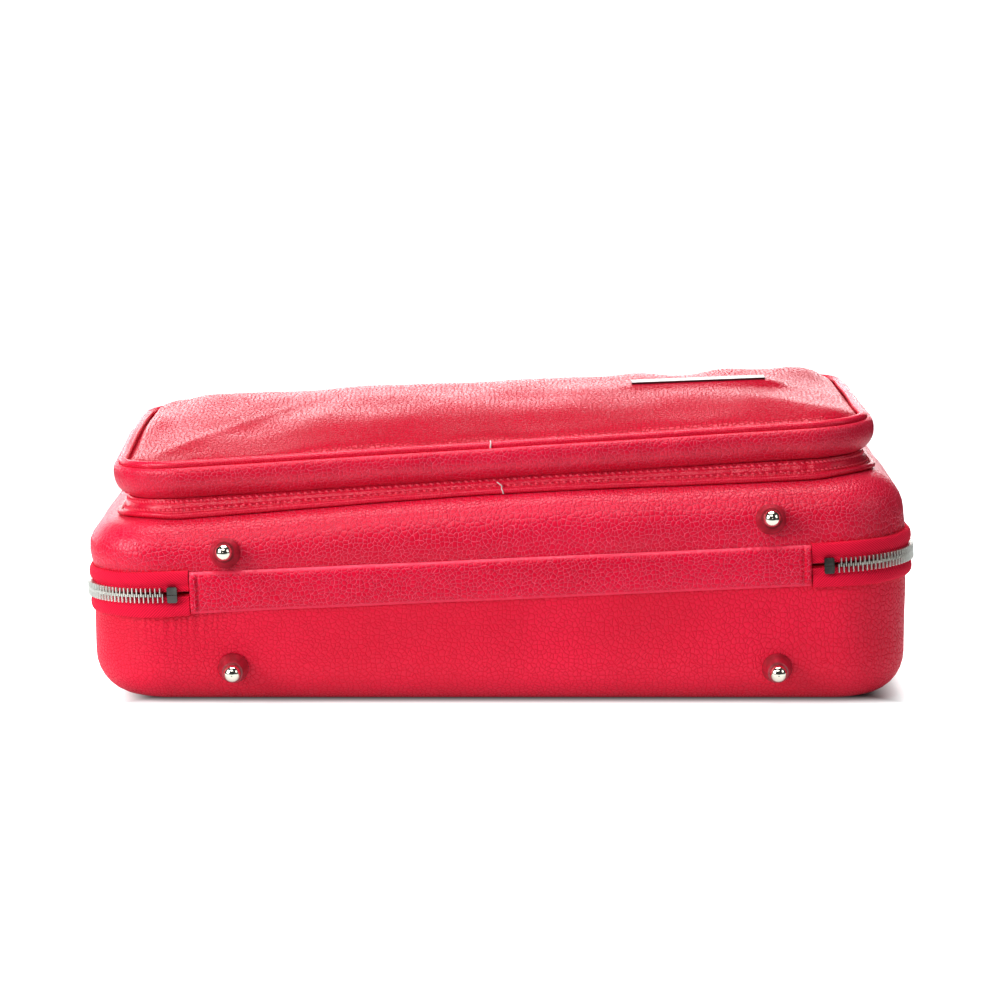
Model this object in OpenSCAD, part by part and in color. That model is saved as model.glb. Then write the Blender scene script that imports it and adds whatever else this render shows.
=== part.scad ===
// Oboe case in red leather, lying closed on its tray. The hinge side, with its
// leather strip and four ball studs, faces -Y. The zip runs round the other three
// sides, the handle is on the +Y side, and a piped pocket covers the lid.
// The closing line and the lid slope gently up towards +X, as the case stands.

/* [Case] */
// Length over the leather of the walls
case_len = 294; // [250:1:340]
// Depth from the hinge side to the handle side, over the leather
case_depth = 165; // [140:1:190]
// Corner radius of the walls, seen from above
corner_r = 28; // [25:0.5:36]
// Height of the closing line above the base, halfway along
closing_z = 45.7; // [42:0.1:60]
// Slope of the closing line along the case, in degrees
closing_lean = 2.6; // [0:0.1:3.5]
// Radius of the tray's bottom edge
tray_edge_r = 15; // [9:0.5:18]
// Height of the lid's top above the closing line
lid_rise = 27.6; // [26:0.1:40]
// Radius of the lid's shoulder
lid_edge_r = 15; // [12:0.5:20]
// Slope of the lid's top against the closing line, in degrees
lid_lean = 1; // [0:0.1:1.5]

/* [Layers] */
// Thickness of the outer leather
leather_t = 1.5; // [1:0.1:2]
// Thickness of the moulded board shell
board_t = 4; // [2.5:0.1:5]
// Thickness of the cloth lining
lining_t = 1; // [0.6:0.1:1.5]
// Gap between the two rims of the closed case
rim_gap = 1.2; // [0.8:0.1:2]

/* [Zip] */
// Height of the zip band over both tapes
band_h = 16; // [14:0.1:20]
// How far the padded tapes stand proud of the leather
tape_proud = 2.2; // [1.8:0.1:3]
// How far the tape edge under the teeth stands proud of the leather
seat_proud = 1.2; // [0.8:0.1:1.6]
// Gap between the two tape edges
tape_gap = 1.8; // [1.6:0.1:2.4]
// Height of the closed row of teeth
chain_h = 5.3; // [4.5:0.1:6]
// Spacing of the teeth on one tape
tooth_pitch = 1.7; // [1.6:0.1:2.6]
// Width of a tooth along the zip
tooth_w = 0.7; // [0.5:0.05:0.75]
// Depth of a tooth from its seat outwards
tooth_d = 1.7; // [1.2:0.1:2]
// How far a tooth reaches past the closing line
tooth_reach = 0.5; // [0.3:0.1:0.7]
// Length of an end stop along the zip
stop_len = 3.6; // [2.5:0.1:5]
// Length of a slider body
slider_len = 11; // [9:0.5:14]
// Length of a puller beyond its slider
puller_len = 20; // [14:1:26]
// Running gap between a slider and the zip
slider_gap = 0.25; // [0.2:0.05:0.4]

/* [Hinge strip] */
// Length of the leather hinge strip
strip_len = 221; // [180:1:230]
// Height of the hinge strip over both flaps
strip_h = 15; // [12:0.5:18]
// Thickness of the hinge strip on the wall
strip_t = 2; // [1.4:0.1:2.2]
// Length of the folded lip at each end of the strip
lip_len = 3; // [2:0.5:5]
// How far the pivot line lies outside the teeth
pivot_clear = 0.3; // [0.2:0.1:0.8]

/* [Studs] */
// Distance between the two studs of a pair
stud_span = 194; // [150:1:210]
// How far the tray studs stand to the right of the middle
tray_stud_shift = 1.7; // [0:0.1:3]
// Height of the tray studs above the base
tray_stud_z = 13.4; // [11:0.1:22]
// Height of the lid studs above the closing line
lid_stud_z = 15.5; // [13:0.1:18]
// Diameter of a stud's leather cone at the wall
cone_base_d = 10.9; // [9:0.1:14]
// Diameter of a stud's leather cone at the ball
cone_top_d = 7.4; // [6:0.1:8]
// Height of a stud's leather cone
cone_h = 5; // [4:0.1:7]
// Diameter of the metal ball
ball_d = 6.2; // [5:0.1:7]

/* [Pocket] */
// Inset of the pocket's base piping from the wall leather
pocket_inset = 10; // [9:0.5:14]
// Radius of the base piping
base_piping_r = 1.1; // [0.8:0.1:1.5]
// Height of the stitched wall above the base piping
foot_h = 5.8; // [5:0.1:9]
// Inward lean of the stitched wall
foot_lean = 2.4; // [1:0.1:4]
// Thickness of the pocket leather with its lining
pocket_t = 2; // [1.5:0.1:2.5]
// Radius of the pocket's bulging side
belly_r = 8; // [6.5:0.1:9]
// How far the belly stands outside the foot's top edge
belly_out = 4.9; // [3:0.1:6]
// Radius of the top piping
top_piping_r = 1.6; // [1.2:0.1:2]
// Inset of the top piping from the belly
top_piping_in = 3.9; // [3:0.1:6]
// Height of the top piping's centre above the foot's top edge
top_piping_h = 12.5; // [10:0.1:14]
// Rise of the padded top panel above its piping
panel_crown = 11; // [2:0.1:14]
// Share of the crown that the panel gains to the left and loses to the right
crown_lean = 0.28; // [0:0.01:0.4]
// Thickness of the panel at its piping
panel_edge_t = 1.9; // [1:0.1:3]
// Depth of the long trough behind the panel's front piping
trough_d = 2.2; // [0:0.1:3]
// Length of the pocket's zip on its hidden side
pocket_zip_len = 190; // [120:1:210]
// Length of the bare metal plate
plate_len = 50; // [30:1:60]
// Width of the bare metal plate
plate_w = 9; // [6:0.5:12]
// Thickness of the bare metal plate
plate_t = 0.7; // [0.5:0.1:1]

/* [Handle] */
// Distance between the handle's two rings
handle_span = 104; // [90:1:120]
// Height of the handle's pivots above the base
handle_z = 22; // [20:0.5:28]
// Diameter of the padded grip
grip_d = 15; // [12:0.5:16]
// Distance from the pivots to the middle of the grip
handle_reach = 30; // [28:0.5:34]
// Angle of the resting handle below the horizontal
handle_droop = 24; // [15:1:25]
// Diameter of the ring wire
wire_d = 3; // [2.5:0.1:3.5]
// Width of a ring, over the wire's middle
ring_w = 26; // [22:1:30]
// Depth of a ring, over the wire's middle
ring_h = 12; // [11:0.5:14]
// Thickness of the leather round the ring wire
loop_t = 2.2; // [1.8:0.1:3]

/* [Inside] */
// Depth of the inlay's top below the closing line
inlay_drop = 6; // [4:0.5:10]
// Diameter of the trough for the lower joint
lower_trough_d = 37; // [32:0.5:40]
// Length of the trough for the lower joint
lower_trough_len = 254; // [230:1:260]
// Diameter of the trough for the upper joint
upper_trough_d = 32; // [28:0.5:36]
// Length of the trough for the upper joint
upper_trough_len = 240; // [220:1:255]
// Largest diameter of the trough for the bell
bell_d = 46; // [40:0.5:50]
// Length of the trough for the bell
bell_len = 118; // [110:1:130]
// Length of the bay for reeds and tools
bay_len = 112; // [80:1:120]
// Width of the bay for reeds and tools
bay_w = 40; // [30:1:44]
// Thickness of the lid's cushion at its edge
pad_t = 5; // [3:0.5:8]
// Rise of the lid's cushion in its middle
pad_crown = 5; // [2:0.5:7]

/* [Hidden] */

$fn = 48;
eps = 0.01;
half_x = case_len / 2;
half_y = case_depth / 2;
// Half spans between the corner axes
core_x = half_x - corner_r;
core_y = half_y - corner_r;
far = 2 * case_len;
board_in = leather_t + board_t;
lining_in = board_in + lining_t;

red = [0.80, 0.08, 0.16];
dark_red = [0.62, 0.04, 0.10];
tape_red = [0.86, 0.07, 0.17];
nickel = [0.86, 0.86, 0.84];
cloth = [0.16, 0.05, 0.07];
board = [0.55, 0.47, 0.38];

// Height of the pocket's pieces above the closing line, in the lid's frame
shoulder_z = lid_rise - lid_edge_r;
base_piping_z = shoulder_z + sqrt(pow(lid_edge_r + base_piping_r, 2) - pow(lid_edge_r - pocket_inset, 2));
foot_top_z = base_piping_z + foot_h;
foot_in = pocket_inset + base_piping_r;
foot_top_in = foot_in + foot_lean;
belly_in = foot_top_in - belly_out;
belly_axis_in = belly_in + belly_r;
belly_z = foot_top_z + belly_r;
top_piping_z = foot_top_z + top_piping_h;
top_piping_inset = belly_in + top_piping_in;
lip_top_z = top_piping_z - top_piping_r;
lip_t = 1;
lip_under = 4;
lip_short = 1.4;
panel_gap = 0.2;
panel_in = top_piping_inset + top_piping_r + panel_gap;

// The lid turns about a line this far outside the wall of the hinge side
pivot_out = seat_proud + tooth_d + pivot_clear;

module in_band() {
    translate([0, 0, closing_z]) rotate([0, -closing_lean, 0]) children();
}

module in_lid() {
    in_band() rotate([0, -lid_lean, 0]) children();
}

// Sweeps a section round a rounded rectangle. The section's x is its distance
// from the corner axis, so the outline itself lies at x = r.
module around(hx, hy, r) {
    for (sx = [0, 1], sy = [0, 1])
        mirror([sx, 0, 0]) mirror([0, sy, 0])
            translate([hx - r, hy - r, 0]) rotate_extrude(angle = 90) children();
    for (sy = [0, 1])
        mirror([0, sy, 0])
            translate([r - hx, hy - r, 0]) rotate([90, 0, 90]) linear_extrude(2 * (hx - r)) children();
    for (sx = [0, 1])
        mirror([sx, 0, 0])
            translate([hx - r, hy - r, 0]) rotate([90, 0, 0]) linear_extrude(2 * (hy - r)) children();
}

module round_case() {
    around(half_x, half_y, corner_r) children();
}

// Area inside a shell wall at the given inset, with a rounded bottom edge
module cup_area(inset, edge_r, h) {
    flat = corner_r - edge_r;
    translate([0, inset]) square([flat, h - inset]);
    translate([0, edge_r]) square([corner_r - inset, h - edge_r]);
    intersection() {
        translate([flat, edge_r]) circle(edge_r - inset);
        translate([flat, inset]) square([edge_r - inset, edge_r - inset]);
    }
}

module cup_shell(outer, inner, edge_r, h) {
    round_case() difference() {
        cup_area(outer, edge_r, h);
        cup_area(inner, edge_r, h + 1);
    }
    translate([-core_x, -core_y, outer]) cube([2 * core_x, 2 * core_y, inner - outer]);
}

module cup_solid(inset, edge_r, h) {
    round_case() cup_area(inset, edge_r, h);
    translate([-core_x, -core_y, inset]) cube([2 * core_x, 2 * core_y, h - inset]);
}

tray_h = closing_z + 20;
lid_h = lid_rise + 12;

module above(z) {
    in_band() translate([-far / 2, -far / 2, z]) cube([far, far, far]);
}

module below(z) {
    in_band() translate([-far / 2, -far / 2, z - far]) cube([far, far, far]);
}

module tray_shell(outer, inner) {
    difference() {
        cup_shell(outer, inner, tray_edge_r, tray_h);
        above(-rim_gap / 2);
    }
}

module lid_shell(outer, inner) {
    difference() {
        in_lid() translate([0, 0, lid_rise]) mirror([0, 0, 1]) cup_shell(outer, inner, lid_edge_r, lid_h);
        below(rim_gap / 2);
    }
}

module tray_body(inset = 0) {
    cup_solid(inset, tray_edge_r, tray_h);
}

module lid_body(inset = 0) {
    in_lid() translate([0, 0, lid_rise]) mirror([0, 0, 1]) cup_solid(inset, lid_edge_r, lid_h);
}

module tray_board() {
    color(board) tray_shell(leather_t, board_in);
}

module tray_leather() {
    color(red) tray_shell(0, leather_t);
}

module tray_lining() {
    color(cloth) tray_shell(board_in, lining_in);
}

module lid_board() {
    color(board) lid_shell(leather_t, board_in);
}

module lid_leather() {
    color(red) lid_shell(0, leather_t);
}

module lid_lining() {
    color(cloth) lid_shell(board_in, lining_in);
}

// Zip tape below the closing line: a thin edge that carries the teeth and a
// padded band that bulges over the wall leather
tape_edge = chain_h / 2 + 0.3;
pad_mid = (band_h / 2 + tape_edge) / 2;
pad_half = (band_h / 2 - tape_edge) / 2;
pad_step = 0.3;
pad_sag = tape_proud - seat_proud - pad_step;
pad_r = (pow(pad_half, 2) + pow(pad_sag, 2)) / (2 * pad_sag);

module tape_section() {
    translate([corner_r - leather_t, -band_h / 2])
        square([leather_t + seat_proud, (band_h - tape_gap) / 2]);
    intersection() {
        translate([corner_r + tape_proud - pad_r, -pad_mid]) circle(pad_r);
        translate([corner_r, -band_h / 2]) square([tape_proud, 2 * pad_half]);
    }
}

module front_window(half_len) {
    translate([-half_len, -half_y - band_h, -band_h]) cube([2 * half_len, 2 * band_h, 2 * band_h]);
}

strip_clear = 0.3;

module zip_tape_lower() {
    color(tape_red) difference() {
        in_band() difference() {
            round_case() tape_section();
            front_window(strip_len / 2 + strip_clear);
        }
        tray_body();
    }
}

module zip_tape_upper() {
    color(tape_red) difference() {
        in_band() difference() {
            round_case() mirror([0, 1]) tape_section();
            front_window(strip_len / 2 + strip_clear);
        }
        lid_body();
    }
}

// Centre line of the zip from the middle of the handle side to an end stop, as
// [x, y, outward angle] at the distance t
chain_r = corner_r + seat_proud + tooth_d / 2;
turn_len = chain_r * PI / 2;
strip_to_stop = 6.2;
stop_x = strip_len / 2 + strip_to_stop;
front_run = core_x - stop_x - stop_len / 2 - tooth_pitch / 2;
chain_half = core_x + turn_len + 2 * core_y + turn_len + front_run;

function on_turn(cx, cy, a) = [cx + chain_r * cos(a), cy + chain_r * sin(a), a];
function on_chain(t) =
    t < core_x ? [t, core_y + chain_r, 90]
    : t < core_x + turn_len ? on_turn(core_x, core_y, 90 * (1 - (t - core_x) / turn_len))
    : t < core_x + turn_len + 2 * core_y ? [core_x + chain_r, core_y - (t - core_x - turn_len), 0]
    : t < core_x + 2 * turn_len + 2 * core_y
        ? on_turn(core_x, -core_y, -90 * (t - core_x - turn_len - 2 * core_y) / turn_len)
    : [core_x - (t - core_x - 2 * turn_len - 2 * core_y), -core_y - chain_r, -90];
function tooth_at(s) = let (p = on_chain(abs(s))) s < 0 ? [-p[0], p[1], 180 - p[2]] : p;
function tooth_corner(p, along, out) =
    [p[0] + out * cos(p[2]) - along * sin(p[2]), p[1] + out * sin(p[2]) + along * cos(p[2])];
function tooth_outline(p, w, d) =
    [for (c = [[-w, -d], [w, -d], [w, 0.4 * d], [0.55 * w, d], [-0.55 * w, d], [-w, 0.4 * d]])
        tooth_corner(p, c[0] / 2, c[1] / 2)];
tooth_sides = 6;

module tooth_row(places, length) {
    batch = 14;
    for (first = [0 : batch : len(places) - 1]) {
        last = min(first + batch, len(places)) - 1;
        outlines = [for (i = [first : last]) tooth_outline(places[i], tooth_w, tooth_d)];
        linear_extrude(length)
            polygon([for (o = outlines, c = o) c],
                    [for (i = [0 : last - first]) [for (k = [0 : tooth_sides - 1]) tooth_sides * i + k]]);
    }
}

tooth_count = floor(chain_half / tooth_pitch);
tooth_len = chain_h / 2 + tooth_reach;

module zip_teeth_lower() {
    color(nickel) in_band() translate([0, 0, -chain_h / 2])
        tooth_row([for (k = [-tooth_count : tooth_count]) tooth_at(k * tooth_pitch)], tooth_len);
}

module zip_teeth_upper() {
    color(nickel) in_band() translate([0, 0, -tooth_reach])
        tooth_row([for (k = [-tooth_count : tooth_count - 1]) tooth_at((k + 0.5) * tooth_pitch)], tooth_len);
}

// Half of the box stop that closes each end of the zip
stop_half_h = chain_h / 2 + 0.2;
stop_split = 0.15;
stop_d = tooth_d + 0.2;
stop_bevel = 0.6;

module stop_halves() {
    for (s = [0, 1])
        mirror([s, 0, 0])
            translate([stop_x, -half_y - seat_proud, stop_split / 2])
                rotate([90, 0, 0]) linear_extrude(stop_d) difference() {
                    translate([-stop_len / 2, 0]) square([stop_len, stop_half_h - stop_split / 2]);
                    for (e = [-1, 1])
                        translate([e * stop_len / 2, stop_half_h - stop_split / 2])
                            rotate(45) square(stop_bevel, center = true);
                }
}

module zip_stops_lower() {
    color(nickel) in_band() mirror([0, 0, 1]) stop_halves();
}

module zip_stops_upper() {
    color(nickel) in_band() stop_halves();
}

// One flap of the hinge strip, above the closing line. Its ends are folded over.
fold_gap = 0.15;
lip_to_pivot = 0.5;
strip_bevel = 0.8;

module strip_flap() {
    flap_h = strip_h / 2 - fold_gap;
    translate([-strip_len / 2, -half_y, fold_gap]) rotate([90, 0, 90]) {
        linear_extrude(strip_len) strip_section(strip_t, flap_h);
        for (x = [0, strip_len - lip_len])
            translate([0, 0, x]) linear_extrude(lip_len) strip_section(pivot_out - lip_to_pivot, flap_h);
    }
}

module strip_section(t, h) {
    polygon([[0, 0], [-t, 0], [-t, h - strip_bevel], [strip_bevel - t, h], [0, h]]);
}

module hinge_strip_lower() {
    color(red) in_band() mirror([0, 0, 1]) strip_flap();
}

module hinge_strip_upper() {
    color(red) in_band() strip_flap();
}

// A stud stands square to the rounded edge of its wall. The edge's axis lies at
// edge_z, and up is the stud's height above that axis.
module on_edge(edge_r, edge_z, up, shift = 0) {
    for (s = [-1, 1])
        translate([s * stud_span / 2 + shift, edge_r - half_y, edge_z])
            rotate([90 - asin(up / edge_r), 0, 0]) translate([0, 0, edge_r]) children();
}

ball_up = 1.1;
ball_z = cone_h + ball_up;
cone_root = 1.5;
cone_rim = 0.4;

module stud_cone() {
    translate([0, 0, -cone_root]) cylinder(d = cone_base_d, h = cone_root + cone_rim);
    translate([0, 0, cone_rim]) cylinder(d1 = cone_base_d, d2 = cone_top_d, h = cone_h - cone_rim);
}

module stud_ball() {
    translate([0, 0, ball_z]) sphere(d = ball_d);
}

module tray_stud_cones() {
    color(dark_red) difference() {
        on_edge(tray_edge_r, tray_edge_r, tray_stud_z - tray_edge_r, tray_stud_shift) stud_cone();
        on_edge(tray_edge_r, tray_edge_r, tray_stud_z - tray_edge_r, tray_stud_shift) stud_ball();
        tray_body();
    }
}

module tray_stud_balls() {
    color(nickel) on_edge(tray_edge_r, tray_edge_r, tray_stud_z - tray_edge_r, tray_stud_shift) stud_ball();
}

module lid_stud_cones() {
    color(dark_red) difference() {
        in_lid() on_edge(lid_edge_r, shoulder_z, lid_stud_z - shoulder_z) stud_cone();
        in_lid() on_edge(lid_edge_r, shoulder_z, lid_stud_z - shoulder_z) stud_ball();
        lid_body();
    }
}

module lid_stud_balls() {
    color(nickel) in_lid() on_edge(lid_edge_r, shoulder_z, lid_stud_z - shoulder_z) stud_ball();
}

// Section of the lid's outer surface, for the pieces that sit on its shoulder
module lid_section() {
    translate([0, lid_rise]) mirror([0, 1]) cup_area(0, lid_edge_r, lid_h);
}

module base_piping_section() {
    translate([corner_r - pocket_inset, base_piping_z]) circle(base_piping_r);
}

module pocket_base_piping() {
    color(red) in_lid() round_case() base_piping_section();
}

module pocket_foot() {
    color(red) in_lid() round_case() difference() {
        polygon([
            [corner_r - foot_in, shoulder_z],
            [corner_r - foot_in, base_piping_z],
            [corner_r - foot_top_in, foot_top_z],
            [corner_r - foot_top_in - pocket_t, foot_top_z],
            [corner_r - foot_in - pocket_t, shoulder_z]
        ]);
        lid_section();
        base_piping_section();
    }
}

module top_piping_section() {
    translate([corner_r - top_piping_inset, top_piping_z]) circle(top_piping_r);
}

// Side of the pocket: a belly that hangs over the stitched foot and carries a
// flat seam lip under the top panel
module gusset_section() {
    intersection() {
        difference() {
            translate([corner_r - belly_axis_in, belly_z]) circle(belly_r);
            translate([corner_r - belly_axis_in, belly_z]) circle(belly_r - pocket_t);
        }
        translate([corner_r - foot_top_in - pocket_t, foot_top_z])
            square([2 * belly_r, lip_top_z - foot_top_z]);
    }
    translate([corner_r - panel_in - lip_under, lip_top_z - lip_t])
        square([panel_in + lip_under - belly_in - lip_short, lip_t]);
}

pocket_back = half_y - belly_in;
pocket_zip_up = 0.6;
pocket_zip_z = (foot_top_z + lip_top_z) / 2 + pocket_zip_up;
pocket_edge_h = 0.7;
pocket_tape_h = lip_top_z - foot_top_z - 2 * pocket_edge_h;
pocket_tape_t = 1.2;
pocket_cut = 1.6;

module pocket_gusset() {
    color(red) in_lid() difference() {
        round_case() gusset_section();
        translate([-pocket_zip_len / 2, pocket_back - pocket_cut, pocket_zip_z - pocket_tape_h / 2])
            cube([pocket_zip_len, 2 * belly_r, pocket_tape_h]);
    }
}

module pocket_top_piping() {
    color(red) in_lid() round_case() top_piping_section();
}

module pocket_zip_tape() {
    color(tape_red) in_lid() difference() {
        translate([-pocket_zip_len / 2, pocket_back - pocket_cut, pocket_zip_z - pocket_tape_h / 2])
            cube([pocket_zip_len, pocket_tape_t, pocket_tape_h]);
        translate([stop_len - pocket_zip_len / 2, pocket_back - belly_r, pocket_zip_z - tape_gap / 2])
            cube([pocket_zip_len - 2 * stop_len, 2 * belly_r, tape_gap]);
    }
}

// Crowned pad on a rounded rectangle, built of shrinking rings. shape(x, y) is
// added to the crown, fading out towards the edge.
pad_turn = 6;
pad_long = 8;
pad_short = 4;
function pad_quarter(hx, hy, r) = concat(
    [for (i = [0 : pad_short - 1]) [hx, (hy - r) * i / pad_short]],
    [for (i = [0 : pad_turn]) [hx - r + r * cos(90 * i / pad_turn), hy - r + r * sin(90 * i / pad_turn)]],
    [for (i = [1 : pad_long]) [(hx - r) * (1 - i / pad_long), hy]]);
function pad_half_ring(q) = concat(q, [for (i = [len(q) - 2 : -1 : 0]) [-q[i][0], q[i][1]]]);
function pad_ring(h) = concat(h, [for (i = [len(h) - 2 : -1 : 1]) [h[i][0], -h[i][1]]]);
function ring_points(hx, hy, r, t) = pad_ring(pad_half_ring(pad_quarter(hx - t, hy - t, r * (1 - t / hy))));
function crown_at(t, hy) = pow(sin(90 * min(1, t / (0.75 * hy))), 0.8);

// Triangles that close a ring of n points starting at first: a fan at each short
// side and strips between the two long sides
function ring_index(first, n, i) = first + (i + n) % n;
function cap_ends(first, n) = let (apex = pad_short + 1)
    [for (i = [pad_short : -1 : -pad_short], far_end = [0, 1])
        far_end == 0
            ? [first + apex, ring_index(first, n, i), ring_index(first, n, i - 1)]
            : [first + n / 2 - apex, first + n / 2 + 1 - i, first + n / 2 - i]];
function cap_strips(first, n) =
    [for (k = [pad_short + 1 : n / 2 - pad_short - 2], half = [0, 1])
        let (a = first + k, b = a + 1, c = first + n - k - 1, d = first + n - k)
            half == 0 ? [a, c, b] : [a, d, c]];
function cap_faces(first, n, down) = [for (f = concat(cap_ends(first, n), cap_strips(first, n)))
    down ? [f[0], f[2], f[1]] : f];

module crowned_pad(hx, hy, r, base, edge_t, crown, lean, dip) {
    insets = [for (f = [0, 0.02, 0.06, 0.12, 0.2, 0.3, 0.42, 0.56, 0.72, 0.9]) f * hy];
    n = len(ring_points(hx, hy, r, 0));
    m = len(insets);
    floor_ring = [for (p = ring_points(hx, hy, r, 0)) [p[0], p[1], base]];
    rings = [for (t = insets, p = ring_points(hx, hy, r, t))
        [p[0], p[1], base + edge_t + crown * (1 - lean * p[0] / hx) * crown_at(t, hy)
            - dip * panel_dip(p[0] / hx, p[1] / hy)]];
    side_faces = [for (j = [0 : m - 1], k = [0 : n - 1], half = [0, 1])
        let (a = j * n + k, b = j * n + (k + 1) % n, c = b + n, d = a + n)
            half == 0 ? [a, c, b] : [a, d, c]];
    polyhedron(concat(floor_ring, rings),
               concat(cap_faces(0, n, true), side_faces, cap_faces(m * n, n, false)));
}

// Long shallow trough just behind the front piping, from the middle to the right
function bump(v, mid, width) = exp(-pow((v - mid) / width, 2));
function panel_dip(u, v) = bump(v, -0.62, 0.22) * (0.35 + 0.65 * bump(u, 0.35, 0.6)) * (1 - pow(v, 8));

module pocket_panel() {
    color(red) in_lid()
        crowned_pad(half_x - panel_in, half_y - panel_in, corner_r - panel_in,
                    lip_top_z, panel_edge_t, panel_crown, crown_lean, trough_d);
}

module lid_pad() {
    pad_in = lid_edge_r + 1;
    color(cloth) in_lid() mirror([0, 0, 1])
        crowned_pad(half_x - pad_in, half_y - pad_in, corner_r - pad_in,
                    lining_in - lid_rise, pad_t, pad_crown, 0, 0);
}

// Where the panel's surface lies above its long sides, at a distance y from the
// middle of the panel
panel_hx = half_x - panel_in;
panel_hy = half_y - panel_in;
function panel_z(x, y) = lip_top_z + panel_edge_t
    + panel_crown * (1 - crown_lean * x / panel_hx) * crown_at(panel_hy - abs(y), panel_hy)
    - trough_d * panel_dip(x / panel_hx, y / panel_hy);

plate_to_end = 69;
plate_x = half_x - plate_to_end;
plate_y = 2;
plate_rise = panel_z(plate_x, plate_y + plate_w / 2) - panel_z(plate_x, plate_y - plate_w / 2);
plate_tilt = atan(plate_rise / plate_w);
plate_fall = panel_z(plate_x - plate_len / 2, plate_y) - panel_z(plate_x + plate_len / 2, plate_y);
plate_lean = atan(plate_fall / plate_len);
plate_lift = 0.3;

module name_plate() {
    color(nickel) in_lid()
        translate([plate_x, plate_y, panel_z(plate_x, plate_y) + plate_lift])
            rotate([plate_tilt, plate_lean, 0])
                translate([-plate_len / 2, -plate_w / 2, 0]) cube([plate_len, plate_w, plate_t]);
}

// Teeth and end stops of the pocket's zip, on the tape's outer face
pocket_seat_y = pocket_back - pocket_cut + pocket_tape_t;
pocket_row_half = floor((pocket_zip_len / 2 - stop_len - 1) / tooth_pitch);

module pocket_zip_teeth() {
    color(nickel) in_lid() translate([0, 0, pocket_zip_z]) {
        translate([0, 0, -chain_h / 2])
            tooth_row([for (k = [-pocket_row_half : pocket_row_half])
                [k * tooth_pitch, pocket_seat_y + tooth_d / 2, 90]], tooth_len);
        translate([0, 0, -tooth_reach])
            tooth_row([for (k = [-pocket_row_half : pocket_row_half - 1])
                [(k + 0.5) * tooth_pitch, pocket_seat_y + tooth_d / 2, 90]], tooth_len);
    }
}

module pocket_zip_stops() {
    color(nickel) in_lid()
        for (s = [-1, 1])
            translate([s * (pocket_zip_len - stop_len) / 2 - stop_len / 2, pocket_seat_y,
                       pocket_zip_z - stop_half_h])
                cube([stop_len, tooth_d, 2 * stop_half_h]);
}

// Slider: a plate over the teeth with a lip at each given side and a bridge that
// holds the puller. Its own frame has the seat of the teeth at y = 0.
plate_in = tooth_d + slider_gap;
slider_t = 1.1;
slider_lip = 1.2;
slider_lip_d = 0.7;
slider_half_h = chain_h / 2 + slider_lip;
bridge_r = 3.6;
bridge_t = 1.2;
bridge_w = 2.4;

module slider_body(lips) {
    translate([-slider_len / 2, plate_in, -slider_half_h]) cube([slider_len, slider_t, 2 * slider_half_h]);
    for (s = lips)
        translate([-slider_len / 2, plate_in - slider_lip_d,
                   s > 0 ? chain_h / 2 + slider_gap : -slider_half_h])
            cube([slider_len, slider_lip_d + eps, slider_lip - slider_gap]);
    translate([0, plate_in + slider_t - eps, -bridge_w / 2]) linear_extrude(bridge_w) intersection() {
        difference() {
            circle(bridge_r);
            circle(bridge_r - bridge_t);
        }
        translate([-bridge_r, 0]) square([2 * bridge_r, bridge_r]);
    }
}

// Puller: a tapered tab with a window for the bridge, hinged on its end bar
pull_w = 6.6;
pull_t = 1.3;
pull_taper = 0.4;
pull_bar_d = 1.6;
pull_axis = plate_in + slider_t + 1.3;
pull_tip_r = 4;
pull_hole_r = 1.8;
window_w = bridge_w + 1;
window_end = bridge_r + 2.2;
window_rim = 1.5;

module puller_body() {
    tip_x = puller_len - pull_tip_r;
    rim_x = window_end + window_rim;
    translate([0, 0, -pull_t / 2]) linear_extrude(pull_t) difference() {
        union() {
            polygon([[0, -pull_w / 2], [rim_x, pull_taper - pull_w / 2], [tip_x, -pull_tip_r],
                     [tip_x, pull_tip_r], [rim_x, pull_w / 2 - pull_taper], [0, pull_w / 2]]);
            translate([tip_x, 0]) circle(pull_tip_r);
        }
        translate([-1, -window_w / 2]) square([window_end + 1, window_w]);
        translate([tip_x, 0]) circle(pull_hole_r);
    }
    translate([0, pull_w / 2, 0]) rotate([90, 0, 0]) cylinder(d = pull_bar_d, h = pull_w);
}

// The two main sliders meet in the middle of the handle side
sliders_apart = 1.2;
slider_x = (slider_len + sliders_apart) / 2;

module at_slider(side) {
    in_band() mirror([side < 0 ? 1 : 0, 0, 0]) translate([slider_x, half_y + seat_proud, 0]) children();
}

module lying_puller() {
    translate([0, pull_axis, 0]) rotate([-90, 0, 0]) puller_body();
}

module zip_slider_left() {
    color(nickel) at_slider(-1) slider_body([-1]);
}

module zip_puller_left() {
    color(nickel) at_slider(-1) lying_puller();
}

module zip_slider_right() {
    color(nickel) at_slider(1) slider_body([-1]);
}

module zip_puller_right() {
    color(nickel) at_slider(1) lying_puller();
}

pocket_slider_x = stop_len + slider_len / 2 + sliders_apart - pocket_zip_len / 2;

module at_pocket_slider() {
    in_lid() translate([pocket_slider_x, pocket_seat_y, pocket_zip_z]) children();
}

module pocket_slider() {
    color(nickel) at_pocket_slider() slider_body([-1, 1]);
}

module pocket_puller() {
    color(nickel) at_pocket_slider() lying_puller();
}

// Handle: two leather tabs on the tray wall, a wire ring in each, and a padded
// grip. Each ring turns in the loop of its tab.
ring_bend = 4;
tab_w = ring_w - 2 * ring_bend - 1;
tab_t = 2;
tab_to_zip = 1.5;
tab_top = closing_z - (handle_span / 2 + ring_w) * tan(closing_lean) - band_h / 2 - tab_to_zip;
tab_below = 4.5;
loop_r = wire_d / 2 + loop_t;
ring_play = 0.3;
grip_end_r = 0.4 * grip_d;
roll_half = handle_span / 2 - tab_w / 2 - 2;

module at_handle() {
    translate([0, half_y + loop_r, handle_z]) rotate([-handle_droop, 0, 0]) children();
}

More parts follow.
